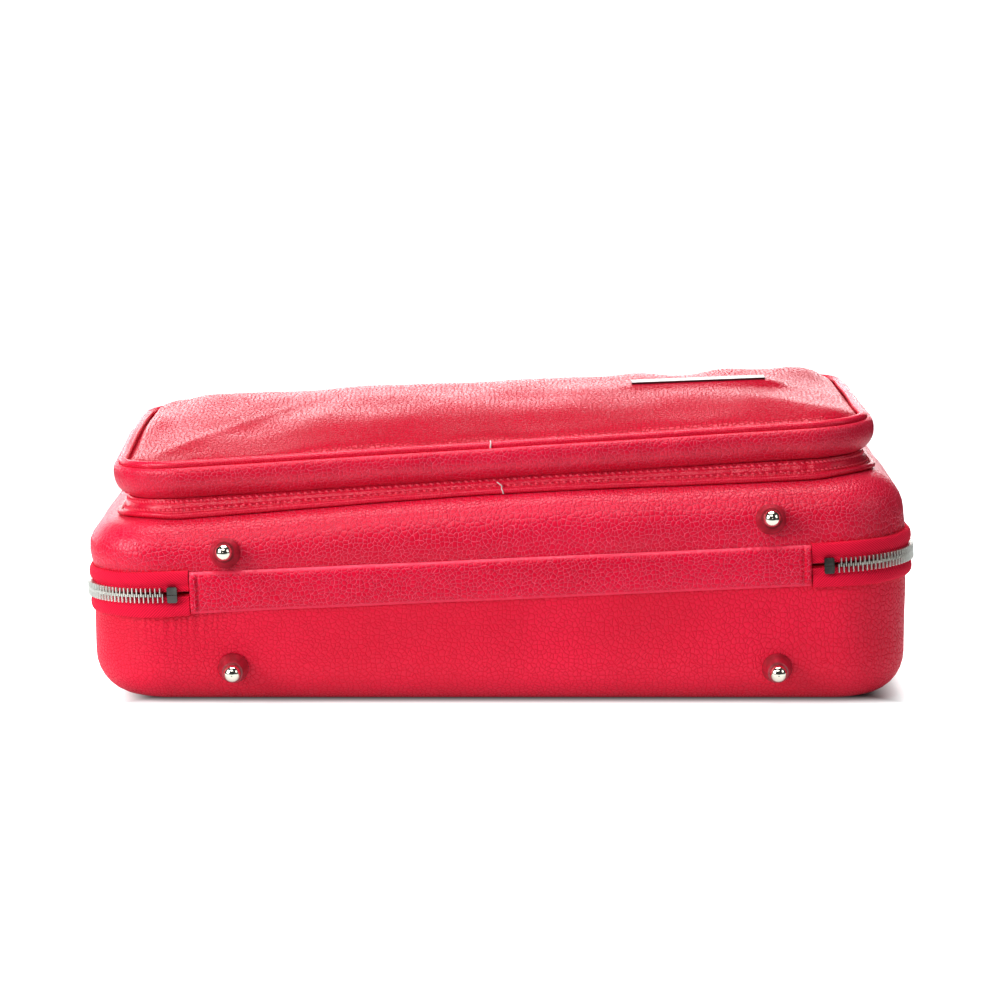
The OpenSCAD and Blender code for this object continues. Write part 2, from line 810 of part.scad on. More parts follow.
module bar(d, length) {
    translate([-length / 2, 0, 0]) rotate([0, 90, 0]) cylinder(d = d, h = length);
}

module handle_tabs() {
    color(red)
        for (s = [-1, 1])
            translate([s * handle_span / 2, half_y, handle_z]) difference() {
                union() {
                    translate([-tab_w / 2, 0, -tab_below])
                        cube([tab_w, tab_t, tab_top - handle_z + tab_below]);
                    translate([0, loop_r, 0]) bar(2 * loop_r, tab_w);
                    translate([-tab_w / 2, 0, -loop_r]) cube([tab_w, loop_r, 2 * loop_r]);
                }
                translate([0, loop_r, 0]) bar(wire_d + 2 * ring_play, tab_w + 1);
            }
}

module ring_wire() {
    translate([0, ring_h / 2, 0]) around(ring_w / 2, ring_h / 2, ring_bend)
        translate([ring_bend, 0]) circle(d = wire_d);
}

module handle_rings() {
    color(nickel) at_handle()
        for (s = [-1, 1])
            translate([s * handle_span / 2, 0, 0]) ring_wire();
}

module neck_section() {
    neck_end = handle_reach - ring_h;
    circle(loop_r);
    translate([neck_end, 0]) circle(grip_end_r);
    polygon([[0, -loop_r], [neck_end, -grip_end_r], [neck_end, grip_end_r], [0, loop_r]]);
}

module handle_grip() {
    cone_len = handle_span / 2 + tab_w / 2 - roll_half;
    color(red) at_handle() {
        difference() {
            for (s = [-1, 1])
                translate([s * handle_span / 2 - tab_w / 2, ring_h, 0]) rotate([90, 0, 90])
                    linear_extrude(tab_w) neck_section();
            for (s = [-1, 1])
                translate([s * handle_span / 2, ring_h, 0]) bar(wire_d, tab_w + 1);
        }
        translate([0, handle_reach, 0]) {
            bar(grip_d, 2 * roll_half);
            for (s = [0, 1])
                mirror([s, 0, 0]) translate([roll_half, 0, 0]) rotate([0, 90, 0]) {
                    cylinder(r1 = grip_d / 2, r2 = grip_end_r, h = cone_len);
                    translate([0, 0, cone_len]) sphere(grip_end_r);
                }
        }
    }
}

// Inlay: four cloth-covered blocks side by side that fill the lined tray, with a
// trough for each joint of the oboe and a bay for reeds and tools
inner_half_y = half_y - lining_in;
trough_gap = (2 * inner_half_y - lower_trough_d - upper_trough_d - bell_d) / 4;
lower_y = -inner_half_y + trough_gap + lower_trough_d / 2;
upper_y = lower_y + lower_trough_d / 2 + trough_gap + upper_trough_d / 2;
bell_y = upper_y + upper_trough_d / 2 + trough_gap + bell_d / 2;
trough_down = 9;
trough_z = closing_z - inlay_drop - trough_down;
bell_wall = 8;
bell_x = -(half_x - lining_in - bell_wall - bell_len / 2);
bay_wall = 10;
bay_x = half_x - lining_in - bay_wall - bay_len / 2;
bay_base = 3.5;
bay_floor = lining_in + bay_base;
bell_neck_d = 0.65 * bell_d;
scoop_r = 24;

module trough(x, y, d, length) {
    translate([x, y, trough_z]) {
        bar(d, length);
        translate([-length / 2, -d / 2, 0]) cube([length, d, far / 2]);
    }
}

module bell_trough() {
    translate([bell_x - bell_len / 2, bell_y, trough_z]) rotate([0, 90, 0])
        cylinder(d1 = bell_d, d2 = bell_neck_d, h = bell_len);
    translate([bell_x - bell_len / 2, bell_y, trough_z])
        linear_extrude(far / 2)
            polygon([[0, -bell_d / 2], [bell_len, -bell_neck_d / 2],
                     [bell_len, bell_neck_d / 2], [0, bell_d / 2]]);
}

module inlay() {
    difference() {
        tray_body(lining_in);
        above(-inlay_drop);
        trough(0, lower_y, lower_trough_d, lower_trough_len);
        trough(0, upper_y, upper_trough_d, upper_trough_len);
        bell_trough();
        translate([bay_x - bay_len / 2, bell_y - bay_w / 2, bay_floor]) cube([bay_len, bay_w, far / 2]);
        translate([0, lower_y, closing_z]) rotate([-90, 0, 0]) cylinder(r = scoop_r, h = upper_y - lower_y);
    }
}

lower_bed_end = lower_y + (lower_trough_d + trough_gap) / 2;
upper_bed_end = upper_y + (upper_trough_d + trough_gap) / 2;
bell_bed_end = (bell_x + bell_len / 2 + bay_x - bay_len / 2) / 2;

// Part of the inlay between two corners, seen from above
module inlay_block(low, high) {
    color(cloth) intersection() {
        inlay();
        translate([low[0], low[1], 0]) cube([high[0] - low[0], high[1] - low[1], far / 2]);
    }
}

module lower_joint_bed() {
    inlay_block([-half_x, -half_y], [half_x, lower_bed_end]);
}

module upper_joint_bed() {
    inlay_block([-half_x, lower_bed_end], [half_x, upper_bed_end]);
}

module bell_bed() {
    inlay_block([-half_x, upper_bed_end], [bell_bed_end, half_y]);
}

module reed_bed() {
    inlay_block([bell_bed_end, upper_bed_end], [half_x, half_y]);
}

tray_board();
tray_leather();
tray_lining();
lower_joint_bed();
upper_joint_bed();
bell_bed();
reed_bed();
zip_tape_lower();
zip_teeth_lower();
zip_stops_lower();
hinge_strip_lower();
tray_stud_cones();
tray_stud_balls();
handle_tabs();
handle_rings();
handle_grip();
zip_slider_left();
zip_puller_left();
zip_slider_right();
zip_puller_right();
lid_board();
lid_leather();
lid_lining();
lid_pad();
zip_tape_upper();
zip_teeth_upper();
zip_stops_upper();
hinge_strip_upper();
lid_stud_cones();
lid_stud_balls();
pocket_base_piping();
pocket_foot();
pocket_gusset();
pocket_top_piping();
pocket_panel();
pocket_zip_tape();
pocket_zip_teeth();
pocket_zip_stops();
pocket_slider();
pocket_puller();
name_plate();
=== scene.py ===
# %% [markdown]
# # An oboe case in red pebbled leather
# The case lies flat on its tray and the camera looks at its hinge side. A
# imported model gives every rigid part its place. This script dresses it: soft
# leather skins, a padded pocket, cloth zip tapes, thread and plush take the
# place of the plain solids, and what stays rigid gets a better finish.

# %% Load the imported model
from math import cos, pi, radians, sin, tan

import bmesh
import bpy
import numpy as np
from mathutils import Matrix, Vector


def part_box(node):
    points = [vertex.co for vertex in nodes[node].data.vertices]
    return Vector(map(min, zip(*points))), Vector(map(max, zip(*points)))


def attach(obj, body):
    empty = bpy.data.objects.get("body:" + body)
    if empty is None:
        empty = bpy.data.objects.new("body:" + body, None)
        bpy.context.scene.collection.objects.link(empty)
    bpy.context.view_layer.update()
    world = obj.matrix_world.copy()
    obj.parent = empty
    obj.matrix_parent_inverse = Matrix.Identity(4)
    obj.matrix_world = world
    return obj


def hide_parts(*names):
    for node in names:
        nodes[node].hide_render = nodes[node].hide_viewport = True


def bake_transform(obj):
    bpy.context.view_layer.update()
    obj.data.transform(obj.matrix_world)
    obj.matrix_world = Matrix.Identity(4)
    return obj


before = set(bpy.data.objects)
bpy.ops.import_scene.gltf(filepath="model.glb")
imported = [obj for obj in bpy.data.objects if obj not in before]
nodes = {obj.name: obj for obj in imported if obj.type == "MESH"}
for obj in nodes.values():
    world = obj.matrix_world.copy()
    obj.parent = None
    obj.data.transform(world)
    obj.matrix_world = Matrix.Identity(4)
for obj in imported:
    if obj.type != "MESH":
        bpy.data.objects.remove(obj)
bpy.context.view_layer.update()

# %% [markdown]
# The case is measured in millimetres and Blender works in metres, so every
# mesh is divided by 1000 once, when it is made. The sizes are those of the
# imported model. The closing line slopes up towards the right, and the lid a
# little more, because the case is slightly wedge-shaped.

# %% Sizes of the case, in millimetres
HALF_X, HALF_Y, CORNER = 147.0, 82.5, 28.0
CLOSING_Z, BAND_LEAN, LID_LEAN = 45.7, radians(2.6), radians(3.6)
TRAY_EDGE, LID_RISE, LID_EDGE = 15.0, 27.6, 15.0
# Leather skin: thickness and how far its rim turns in. Lining: thickness, inset, rim gap
SKIN_T, SKIN_TURN, LINING_T, LINING_IN, LINING_SHORT = 0.9, -5.6, 0.8, 6.5, 0.75
STRIP_END, STRIP_HALF, PIVOT_OUT = 110.5, 7.5, 3.2
# Heights of the pocket's rings in the lid's frame, and how far in from the wall they stand
BASE_PIPING_Z, FOOT_TOP_Z, BELLY_Z, WALL_TOP_Z = 27.9, 33.7, 41.7, 44.6
TOP_PIPING_Z, TOP_PIPING_IN, PANEL_IN, POCKET_CORNER = 46.2, 12.5, 14.3, 35.0


def stacked(*parts):
    """Coordinates put together as points; a single number goes with every point."""
    return np.stack(np.broadcast_arrays(*parts), -1)


def around(count):
    """The angles of a full turn in equal steps."""
    return np.linspace(0, 2 * pi, count, endpoint=False)


def leaning(points, angle):
    """Points of the zip band or the lid, turned up about the middle of the closing line."""
    x, y, z = np.moveaxis(np.asarray(points, float), -1, 0)
    return stacked(x * cos(angle) - z * sin(angle), y, x * sin(angle) + z * cos(angle) + CLOSING_Z)


def in_band(points):
    return leaning(points, BAND_LEAN)


def in_lid(points):
    return leaning(points, LID_LEAN)


def in_tray(points):
    return np.asarray(points, float)


print("closing line rises by", round(2 * HALF_X * tan(BAND_LEAN), 1), "mm along the case")

# %% [markdown]
# Hand-made leather is never dead straight. A smooth field of small ups and
# downs, made of a few sine waves in fixed directions, moves every soft
# surface a fraction of a millimetre. Sine waves give the same result on each
# run, and they are quick to work out for many points at once.

# %% A gentle unevenness
WAVES = 9
draw = np.random.default_rng(11)
WAVE_WAYS = draw.normal(size=(WAVES, 3))
WAVE_WAYS /= np.linalg.norm(WAVE_WAYS, axis=1)[:, None]
WAVE_STARTS = draw.uniform(0, 2 * pi, WAVES)
WAVE_LENGTHS = draw.uniform(0.7, 1.6, WAVES)


def unevenness(points, size, shift=0.0):
    """A smooth field from about -1 to 1 whose bumps are about size mm apart."""
    p = np.asarray(points, float)
    total = np.zeros(p.shape[:-1])
    for way, start, length in zip(WAVE_WAYS, WAVE_STARTS, WAVE_LENGTHS):
        total += np.sin(p @ way * 2 * pi / (size * length) + start + shift)
    return total / (WAVES / 2)


def near(value, middle, width):
    """1 at the middle, falling smoothly to nothing two widths away."""
    return np.exp(-(((value - middle) / width) ** 2))


def ease(value, low, high):
    """0 below low, 1 above high and a smooth step from one to the other."""
    t = np.clip((value - low) / (high - low), 0, 1)
    return t * t * (3 - 2 * t)


print("unevenness at the middle:", round(float(unevenness([0, 0, 0], 30)), 2))

# %% [markdown]
# Nearly every piece runs round the case: skins, tapes, piping and the pocket
# wall are all one cross-section carried along a rounded rectangle. So one
# path round the wall is worked out once, with its outward direction. Corners
# could be left to a bevel, but a measured path keeps the cloth's weave and
# the stitches at their true spacing.

# %% The path round the case
def wall_legs(corner):
    """Straights and bends: length, start or centre, the way they face, and if they bend."""
    x, y, bend = HALF_X - corner, HALF_Y - corner, corner * pi / 2
    return [
        (x, (0, HALF_Y), 90, False), (bend, (x, y), 90, True),
        (2 * y, (HALF_X, y), 0, False), (bend, (x, -y), 0, True),
        (2 * x, (x, -HALF_Y), -90, False), (bend, (-x, -y), -90, True),
        (2 * y, (-HALF_X, -y), 180, False), (bend, (-x, y), 180, True),
        (x, (-x, HALF_Y), 90, False),
    ]


def round_trip(corner=CORNER):
    return sum(leg[0] for leg in wall_legs(corner))


def wall_point(s, corner=CORNER):
    """x, y and outward direction, s mm clockwise along the wall from the handle side's middle."""
    for length, (x, y), face, bend in wall_legs(corner):
        if s <= length + 1e-9:
            break
        s -= length
    if bend:
        a = radians(face) - s / corner
        return x + corner * cos(a), y + corner * sin(a), cos(a), sin(a)
    a = radians(face)
    return x + s * sin(a), y - s * cos(a), cos(a), sin(a)


def front_at(x, corner=CORNER):
    """Distance along the wall of a place on the hinge side."""
    return round_trip(corner) / 2 - x


def wall_path(step=1.6, corner=CORNER, fine=()):
    """Rows of x, y, outward x, outward y and distance. A fine stretch has its own step."""
    end = round_trip(corner)
    marks = [0.0] + list(np.cumsum([leg[0] for leg in wall_legs(corner)])[:-1])
    for first, last, gap in [(0.0, end, step)] + list(fine):
        marks += list(np.arange(first, last, gap))
    kept = [0.0]
    for mark in sorted(marks):
        if 0.3 < mark - kept[-1] and mark < end - 0.3:
            kept.append(mark)
    return np.array([[*wall_point(mark, corner), mark] for mark in kept])


def spots(path, section):
    """Points of a section of (distance outside the wall, height) at every place of a path."""
    x, y, out_x, out_y = path[:, :4].T[..., None]
    return stacked(x + out_x * section[..., 0], y + out_y * section[..., 0], section[..., 1])


ROUND_TRIP = round_trip()
print("once round the wall:", round(ROUND_TRIP), "mm")

# %% [markdown]
# A sweep places a cross-section at every point of the path and joins them
# into one closed mesh. Each face also gets flat cloth coordinates in metres,
# along the path and across the section, so a weave keeps its true size.

# %% Meshes from rows of points
def lay_mesh(name, verts, faces, coords=None, sharp=45):
    """An object from points in mm: faces outwards, smooth, with sharp edges above an angle."""
    verts = np.asarray(verts, float)
    mesh = bpy.data.meshes.new(name)
    mesh.from_pydata((verts / 1000).tolist(), [], [tuple(f) for f in faces])
    if coords is None:
        coords = verts[np.concatenate([np.asarray(f) for f in faces])][:, :2]
    layer = mesh.uv_layers.new(name="cloth")
    layer.data.foreach_set("uv", np.asarray(coords, np.float32).ravel() / 1000)
    work = bmesh.new()
    work.from_mesh(mesh)
    bmesh.ops.recalc_face_normals(work, faces=work.faces)
    work.to_mesh(mesh)
    work.free()
    mesh.shade_smooth()
    mesh.set_sharp_from_angle(angle=radians(sharp))
    made = bpy.data.objects.new(name, mesh)
    bpy.context.scene.collection.objects.link(made)
    return made


def join_rows(name, grid, wrap_rows, wrap_points, along, across, sharp=45):
    """A mesh from a grid of points, closed both ways or with flat ends."""
    rows, points = grid.shape[:2]
    index = np.arange(rows * points).reshape(rows, points)
    i = np.arange(rows if wrap_rows else rows - 1)[:, None]
    j = np.arange(points if wrap_points else points - 1)[None, :]
    i2, j2 = (i + 1) % rows, (j + 1) % points
    faces = stacked(index[i, j], index[i2, j], index[i2, j2], index[i, j2]).reshape(-1, 4).tolist()
    u, v = (np.append(m, m[-1] + (m[-1] - m[-2])) for m in (along, across))
    turns = ((0, 0), (1, 0), (1, 1), (0, 1))
    coords = [np.stack([stacked(u[i + a], v[j + b]) for a, b in turns], 2).reshape(-1, 2)]
    if wrap_rows != wrap_points:
        ends = (index[:, [0, -1]].T if wrap_rows else index[[0, -1]]).tolist()
        faces += ends
        coords += [grid.reshape(-1, 3)[end][:, :2] for end in ends]
    return lay_mesh(name, grid.reshape(-1, 3), faces, np.concatenate(coords), sharp)


def distances(line):
    """How far along a line each of its points lies."""
    return np.r_[0, np.cumsum(np.linalg.norm(np.diff(line, axis=0), axis=1))]


def sweep(name, path, section, place, ring=True, sharp=45):
    """Carries a section along the wall path, with one section for each place."""
    closed = np.hypot(*(path[-1, :2] - path[0, :2])) < 4
    grid = place(spots(path, section))
    return join_rows(name, grid, closed, ring, path[:, 4], distances(section[0]), sharp)


def dress(piece, finish, body, slot, *replaced):
    """Gives a piece its finish and its body, and hides the solids that it stands for. slot is not
    used.
    """
    piece.data.materials.clear()
    piece.data.materials.append(finish)
    if body:
        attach(piece, body)
    if replaced:
        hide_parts(*replaced)
    return piece


print("mesh makers ready")

# %% [markdown]
# Finishes are built from nodes. Written out one by one they are hard to read,
# so a small class wraps a socket: plus, minus and times on it add the Math
# nodes. Everything that changes over a surface goes only to colour,
# roughness or the bump, and what is constant is set on the shader itself.

# %% Shader maths in plain expressions
class Value:
    """A socket of a finish, on which Python's operators add Math nodes."""

    def __init__(self, finish, socket):
        self.finish, self.socket = finish, socket

    def math(self, operation, *others):
        sockets = dict(enumerate((self, *others)))
        return self.finish.node("ShaderNodeMath", {"operation": operation}, sockets)

    def __add__(self, other):
        return self.math("ADD", other)

    def __mul__(self, other):
        return self.math("MULTIPLY", other)

    def __sub__(self, other):
        return self.math("SUBTRACT", other)

    def __rsub__(self, other):
        return (self * -1) + other

    __radd__, __rmul__ = __add__, __mul__

    def between(self, low, high):
        """0 below low, 1 above high and a smooth step from one to the other."""
        settings = {"interpolation_type": "SMOOTHSTEP"}
        sockets = {"Value": self, "From Min": low, "From Max": high}
        return self.finish.node("ShaderNodeMapRange", settings, sockets)


class Finish:
    """A material, or the world's background, whose nodes are made by one method."""

    def __init__(self, name, owner=bpy.data.materials, shader="Principled BSDF", **constants):
        self.material = owner.new(name)
        self.material.use_nodes = True
        self.nodes, self.links = self.material.node_tree.nodes, self.material.node_tree.links
        self.shader = self.nodes[shader]
        self.paint(**constants)

    def feed(self, node, socket, value):
        if isinstance(value, Value):
            self.links.new(value.socket, node.inputs[socket])
        else:
            colour = node.inputs[socket].type == "RGBA"
            node.inputs[socket].default_value = (*value, 1) if colour else value

    def node(self, kind, settings=None, sockets=None, out=0):
        """Adds a node: first its settings, then the values or links of its sockets."""
        made = self.nodes.new(kind)
        for key, value in (settings or {}).items():
            setattr(made, key, value)
        for socket, value in (sockets or {}).items():
            self.feed(made, socket, value)
        return Value(self, made.outputs[out])

    def mix(self, share, one, other):
        """A colour between two others."""
        sockets = {"Factor": share, 6: one, 7: other}
        return self.node("ShaderNodeMix", {"data_type": "RGBA"}, sockets, out=2)

    def place(self):
        """Where a point is on the resting case, in metres."""
        return self.node("ShaderNodeTexCoord", out=3)

    def cloth(self):
        """Flat cloth coordinates, in metres along and across."""
        return self.node("ShaderNodeUVMap", {"uv_map": "cloth"})

    def noise(self, at, scale, detail=2.0):
        sockets = {"Vector": at, "Scale": scale, "Detail": detail}
        return self.node("ShaderNodeTexNoise", None, sockets)

    def part(self, vector, axis):
        return self.node("ShaderNodeSeparateXYZ", None, {0: vector}, out="XYZ".index(axis))

    def vector_math(self, operation, *values):
        sockets = dict(enumerate(values))
        return self.node("ShaderNodeVectorMath", {"operation": operation}, sockets)

    def relief(self, height, depth):
        """Bump from a height of 0 to 1 that stands for depth metres."""
        sockets = {"Strength": 1.0, "Distance": depth, "Height": height}
        self.feed(self.shader, "Normal", self.node("ShaderNodeBump", None, sockets))

    def paint(self, **surface):
        for socket, value in surface.items():
            self.feed(self.shader, socket.replace("_", " "), value)
        return self.material


print("finishes can be written as sums and products")

# %% [markdown]
# The leather is full-grain cowhide with a pressed pebble: rounded cells about
# a millimetre and a half wide, parted by narrow valleys. A picture of leather
# could be tiled over the case, but a Voronoi pattern on the flat cloth
# coordinates never repeats and stays sharp from near. The cells are bent by a
# little noise so that no two match. Valleys are rougher than pebbles. Their
# colour is painted light: they are painted paler on the lid and the strip, a
# painted highlight on their flanks, and darker on the tray and the pocket's
# top, painted shade. The pocket's top is also painted a darker red all over,
# painted shade against the strong light from above. Where the strip is folded
# over, its pebbles are flattened and painted pale, a painted highlight.

# %% Pebbled leather
LEATHER_DEEP, LEATHER_RED = (0.70, 0.0012, 0.042), (0.86, 0.003, 0.068)
# Valley colours are painted light: the pale one on the lid and the strip is a painted highlight,
# the dark ones on the tray and the pocket's top are painted shade.
LEATHER_VALLEY_HIGHLIGHT, TRAY_VALLEY_SHADE, TOP_VALLEY_SHADE = (1.0, 0.15, 0.25), (0.70, 0.002, 0.036), (0.36, 0.001, 0.014)
# The pocket's top gets a darker copy of the reds: painted shade against the strong light from
# above.
TOP_SHADED_REDS = (0.50, 0.0008, 0.030), (0.64, 0.0015, 0.046)
CELL_SWAY = (0.0012, 0.0012, 0.0)  # how far noise bends the cells, in metres


def leather(name, cell, depth, line, rough=0.3, gloss=0.3, valley_width=0.11, folded_at=None,
            reds=(LEATHER_DEEP, LEATHER_RED)):
    """cell and depth of the pebbles are in mm, and line is the colour between them: a
    painted highlight where it is paler, painted shade where it is darker. Beyond
    folded_at mm from the middle of a strip its pebbles are flattened and painted
    paler, a painted highlight along the fold."""
    finish = Finish(name, Specular_IOR_Level=gloss)
    at = finish.cloth()
    sway = finish.node("ShaderNodeTexNoise", {"noise_dimensions": "2D"},
                       {"Vector": at, "Scale": 380.0}, out=1)
    bent = finish.vector_math("MULTIPLY_ADD", sway, CELL_SWAY, at)
    valley, middle = (
        finish.node("ShaderNodeTexVoronoi", {"voronoi_dimensions": "2D", "feature": feature},
                    {"Vector": bent, "Scale": 1000 / cell})
        for feature in ("DISTANCE_TO_EDGE", "F1"))
    pebble = valley.between(0.0, valley_width)
    if folded_at:
        off_middle = finish.part(at, "Y").math("ABSOLUTE")
        flattened_and_highlit = off_middle.between(folded_at / 1000, folded_at / 1000 + 0.0007)
        pebble = pebble.math("MAXIMUM", flattened_and_highlit)
    fine = finish.noise(at, 1300)
    finish.relief(pebble * 0.6 + (1 - middle) * 0.5 + fine * 0.03, depth / 1000)
    tone = finish.noise(at, 20, 3.0)
    shade = finish.mix(tone.between(0.3, 0.7) * 0.6 + fine * 0.3, *reds)
    if folded_at:
        # Painted highlight: the folded edges are painted paler.
        shade = finish.mix(flattened_and_highlit * 0.45, shade, line)
    dull = (1 - pebble) * 0.4 + fine * 0.1 + (rough - 0.05)
    # The valleys take the line colour: a painted highlight or painted shade in them, depending on
    # the leather.
    return finish.paint(Base_Color=finish.mix((1 - pebble) * 0.8, shade, line), Roughness=dull)


pebbled = leather("pebbled_leather", 1.5, 0.3, LEATHER_VALLEY_HIGHLIGHT, rough=0.34, gloss=0.66)
panel_leather = leather("pocket_top_leather", 1.7, 0.15, TOP_VALLEY_SHADE, rough=0.27, gloss=0.32,
                        valley_width=0.2, reds=TOP_SHADED_REDS)
tray_leather = leather("tray_leather", 1.6, 0.17, TRAY_VALLEY_SHADE, rough=0.42, gloss=0.55,
                       valley_width=0.16)
strip_leather = leather("strip_leather", 1.5, 0.36, LEATHER_VALLEY_HIGHLIGHT, gloss=0.4, valley_width=0.13,
                        folded_at=6.2)
piping_leather = leather("piping_leather", 1.0, 0.12, LEATHER_RED, rough=0.26, gloss=0.8)
print("leathers:", [m.name for m in bpy.data.materials if "leather" in m.name])

# %% [markdown]
# The zip tape is a woven twill. Its ribs run aslant and mirror each other
# above and below the teeth, so the two tapes together read as a herringbone.
# The ribs come from a sine of the cloth coordinates: along plus across.

# %% Woven tape, thread and plush
def twill(name, colour, dark, rib=1.05, depth=0.16):
    finish = Finish(name, Sheen_Weight=0.04, Sheen_Roughness=0.5, Specular_IOR_Level=0.2)
    cloth = finish.cloth()
    along, across = finish.part(cloth, "X"), finish.part(cloth, "Y")
    turns = 2 * pi * 1000 / rib
    slant = ((along + across * 1.1) * turns).math("SINE") * 0.5 + 0.5
    yarns = ((along - across * 0.35) * (turns * 2.6)).math("SINE") * 0.5 + 0.5
    fuzz = finish.noise(finish.place(), 2400)
    rise = slant * 0.6 + yarns * 0.25 + fuzz * 0.25
    finish.relief(rise, depth / 1000)
    return finish.paint(Base_Color=finish.mix(rise, dark, colour), Roughness=0.62 + 0.2 * fuzz)


def plush(name, colour, dark):
    """Short pile: a soft sheen, brushed patches and a fine fuzz."""
    finish = Finish(name, Sheen_Weight=0.7, Sheen_Roughness=0.35, Specular_IOR_Level=0.2)
    at = finish.place()
    brushed, fuzz = finish.noise(at, 28, 4.0), finish.noise(at, 1700, 3.0)
    finish.relief(fuzz * 0.8 + brushed * 0.2, 0.0003)
    shade = finish.mix(brushed.between(0.35, 0.68) * 0.6 + fuzz * 0.3, dark, colour)
    return finish.paint(Base_Color=shade, Roughness=0.8 + 0.15 * fuzz)


def grained(finish, grain, colour, dark, depth, rough, spread):
    """One noise gives a finish its relief, its shade and its roughness."""
    finish.relief(grain, depth)
    shade = finish.mix(grain, dark, colour)
    return finish.paint(Base_Color=shade, Roughness=rough + spread * grain)


def thread(name, colour, dark):
    finish = Finish(name, Sheen_Weight=0.2, Specular_IOR_Level=0.35)
    fibres = finish.noise(finish.place(), 3200)
    return grained(finish, fibres, colour, dark, 0.00006, 0.5, 0.2)


tape_cloth = twill("zip_tape_cloth", (1.0, 0.018, 0.10), (0.55, 0.002, 0.022))
# The red thread is painted paler than the leather: a painted highlight on the stitches.
red_thread_painted_highlight = thread("red_thread_painted_highlight", (1.0, 0.17, 0.26), (0.9, 0.05, 0.11))
white_thread = thread("white_thread", (0.86, 0.80, 0.78), (0.6, 0.5, 0.5))
wine_plush = plush("wine_plush", (0.085, 0.012, 0.022), (0.028, 0.003, 0.007))
print("cloths ready:", tape_cloth.name, wine_plush.name)

# %% [markdown]
# Zip teeth, rings, sliders and ball studs are nickel-plated and polished:
# almost a mirror, with faint wipe marks. The zip's end stops are painted a
# much darker metal, a painted reflection of the dim room. The name plate is
# brushed, so its noise is stretched along its length. The stud cones are
# moulded in a dark red with a soft gloss.

# %% Metal, cones and board
def plated(name, rough=0.09, tint=(0.83, 0.79, 0.70)):
    finish = Finish(name, Metallic=1.0)
    at = finish.place()
    wipe = finish.noise(at, 160, 3.0)
    finish.relief(finish.noise(at, 600), 0.000004)
    worn = finish.mix(wipe.between(0.45, 0.75) * 0.35, tint, (0.70, 0.67, 0.61))
    return finish.paint(Base_Color=worn, Roughness=rough + 0.1 * wipe)


def brushed(name):
    finish = Finish(name, Metallic=1.0)
    stretched = finish.vector_math("MULTIPLY", finish.place(), (60.0, 2600.0, 2600.0))
    lines = finish.noise(stretched, 1.0, 3.0)
    return grained(finish, lines, (0.27, 0.26, 0.25), (0.13, 0.125, 0.12), 0.00002, 0.2, 0.2)


def moulded(name):
    finish = Finish(name, Coat_Roughness=0.2, Specular_IOR_Level=0.9)
    at = finish.place()
    mottle, grit = finish.noise(at, 340, 3.0), finish.noise(at, 1500)
    finish.relief(grit * 0.5 + mottle * 0.5, 0.00014)
    shade = finish.mix(mottle.between(0.3, 0.75), (0.27, 0.003, 0.015), (0.46, 0.009, 0.04))
    return finish.paint(Base_Color=shade, Roughness=0.36 + 0.16 * grit, Coat_Weight=0.8)


def fibreboard(name):
    finish = Finish(name, Specular_IOR_Level=0.2)
    flecks = finish.noise(finish.place(), 900, 4.0)
    return grained(finish, flecks, (0.55, 0.45, 0.34), (0.30, 0.22, 0.15), 0.0001, 0.8, 0.1)


KEPT_FINISHES = {
    plated("polished_nickel"): [
        "tray_stud_balls", "lid_stud_balls", "handle_rings", "zip_slider_left",
        "zip_slider_right", "zip_puller_left", "zip_puller_right", "pocket_slider",
        "pocket_puller"],
    plated("zip_teeth_metal", 0.24, (0.88, 0.86, 0.82)): [
        "zip_teeth_lower", "zip_teeth_upper", "pocket_zip_teeth"],
    # Painted reflection: the stops' dark tint stands in for the dim room that they mirror.
    plated("zip_stop_painted_dark", 0.1, (0.20, 0.19, 0.18)): [
        "zip_stops_lower", "zip_stops_upper", "pocket_zip_stops"],
    brushed("brushed_plate"): ["name_plate"],
    moulded("cone_red"): ["tray_stud_cones", "lid_stud_cones"],
    fibreboard("shell_board"): ["tray_board", "lid_board"],
}
for finish, names in KEPT_FINISHES.items():
    for name in names:
        nodes[name].data.materials.clear()
        nodes[name].data.materials.append(finish)
print("solids kept with a new finish:", sum(len(n) for n in KEPT_FINISHES.values()))

# %% [markdown]
# Tray and lid are moulded shells with leather stretched over them. A skin is
# a thin closed shell: down the wall, round the bottom edge and across the
# base, with its top edge turned in over the rim and glued down, so no raw
# board shows when the case is open. The section changes along the path,
# because the wall is taller at one end. Where the tape pulls the leather
# tight near the end of the strip, it gathers into small upright pleats.

# %% Skins over the tray and the lid
def cup_profile(face, edge, flat_z, rim, turn_to=None):
    """Section of a cup at one place: face is how far outside the wall leather its face lies,
    edge the rounded edge's radius, flat_z and rim the heights of base and rim in the cup's
    frame. A skin turns in over the rim to turn_to; without it the section is a lining's."""
    up = 1 if rim > flat_z else -1
    axis_z = flat_z + up * edge

    def half(radius):
        bend, heights = np.linspace(0, pi / 2, 9), np.linspace(axis_z, rim - up * 1.2, 8)
        arc = [(-edge + radius * sin(a), axis_z - up * radius * cos(a)) for a in bend]
        return arc + [(-edge + radius, z) for z in heights[1:]]

    radius = edge + face
    if turn_to is None:
        lip = [(face + 0.3 * LINING_T, rim - up * 0.1)]
        return half(radius) + lip + half(radius + LINING_T)[::-1]
    turned = [(face - 0.25, rim - up * 0.25), (face - 0.9, rim), (turn_to, rim),
              (turn_to, rim - up * 0.25), (face - SKIN_T - 0.1, rim - up * 0.3)]
    return half(radius) + turned + half(radius - SKIN_T)[::-1]


def rim_height(x, side):
    """Height of the rim, just short of the closing line: side is -1 in the tray, 1 in the lid."""
    if side < 0:
        return CLOSING_Z + x * tan(BAND_LEAN) - 0.22 / cos(BAND_LEAN)
    return -x * tan(LID_LEAN - BAND_LEAN) + 0.22


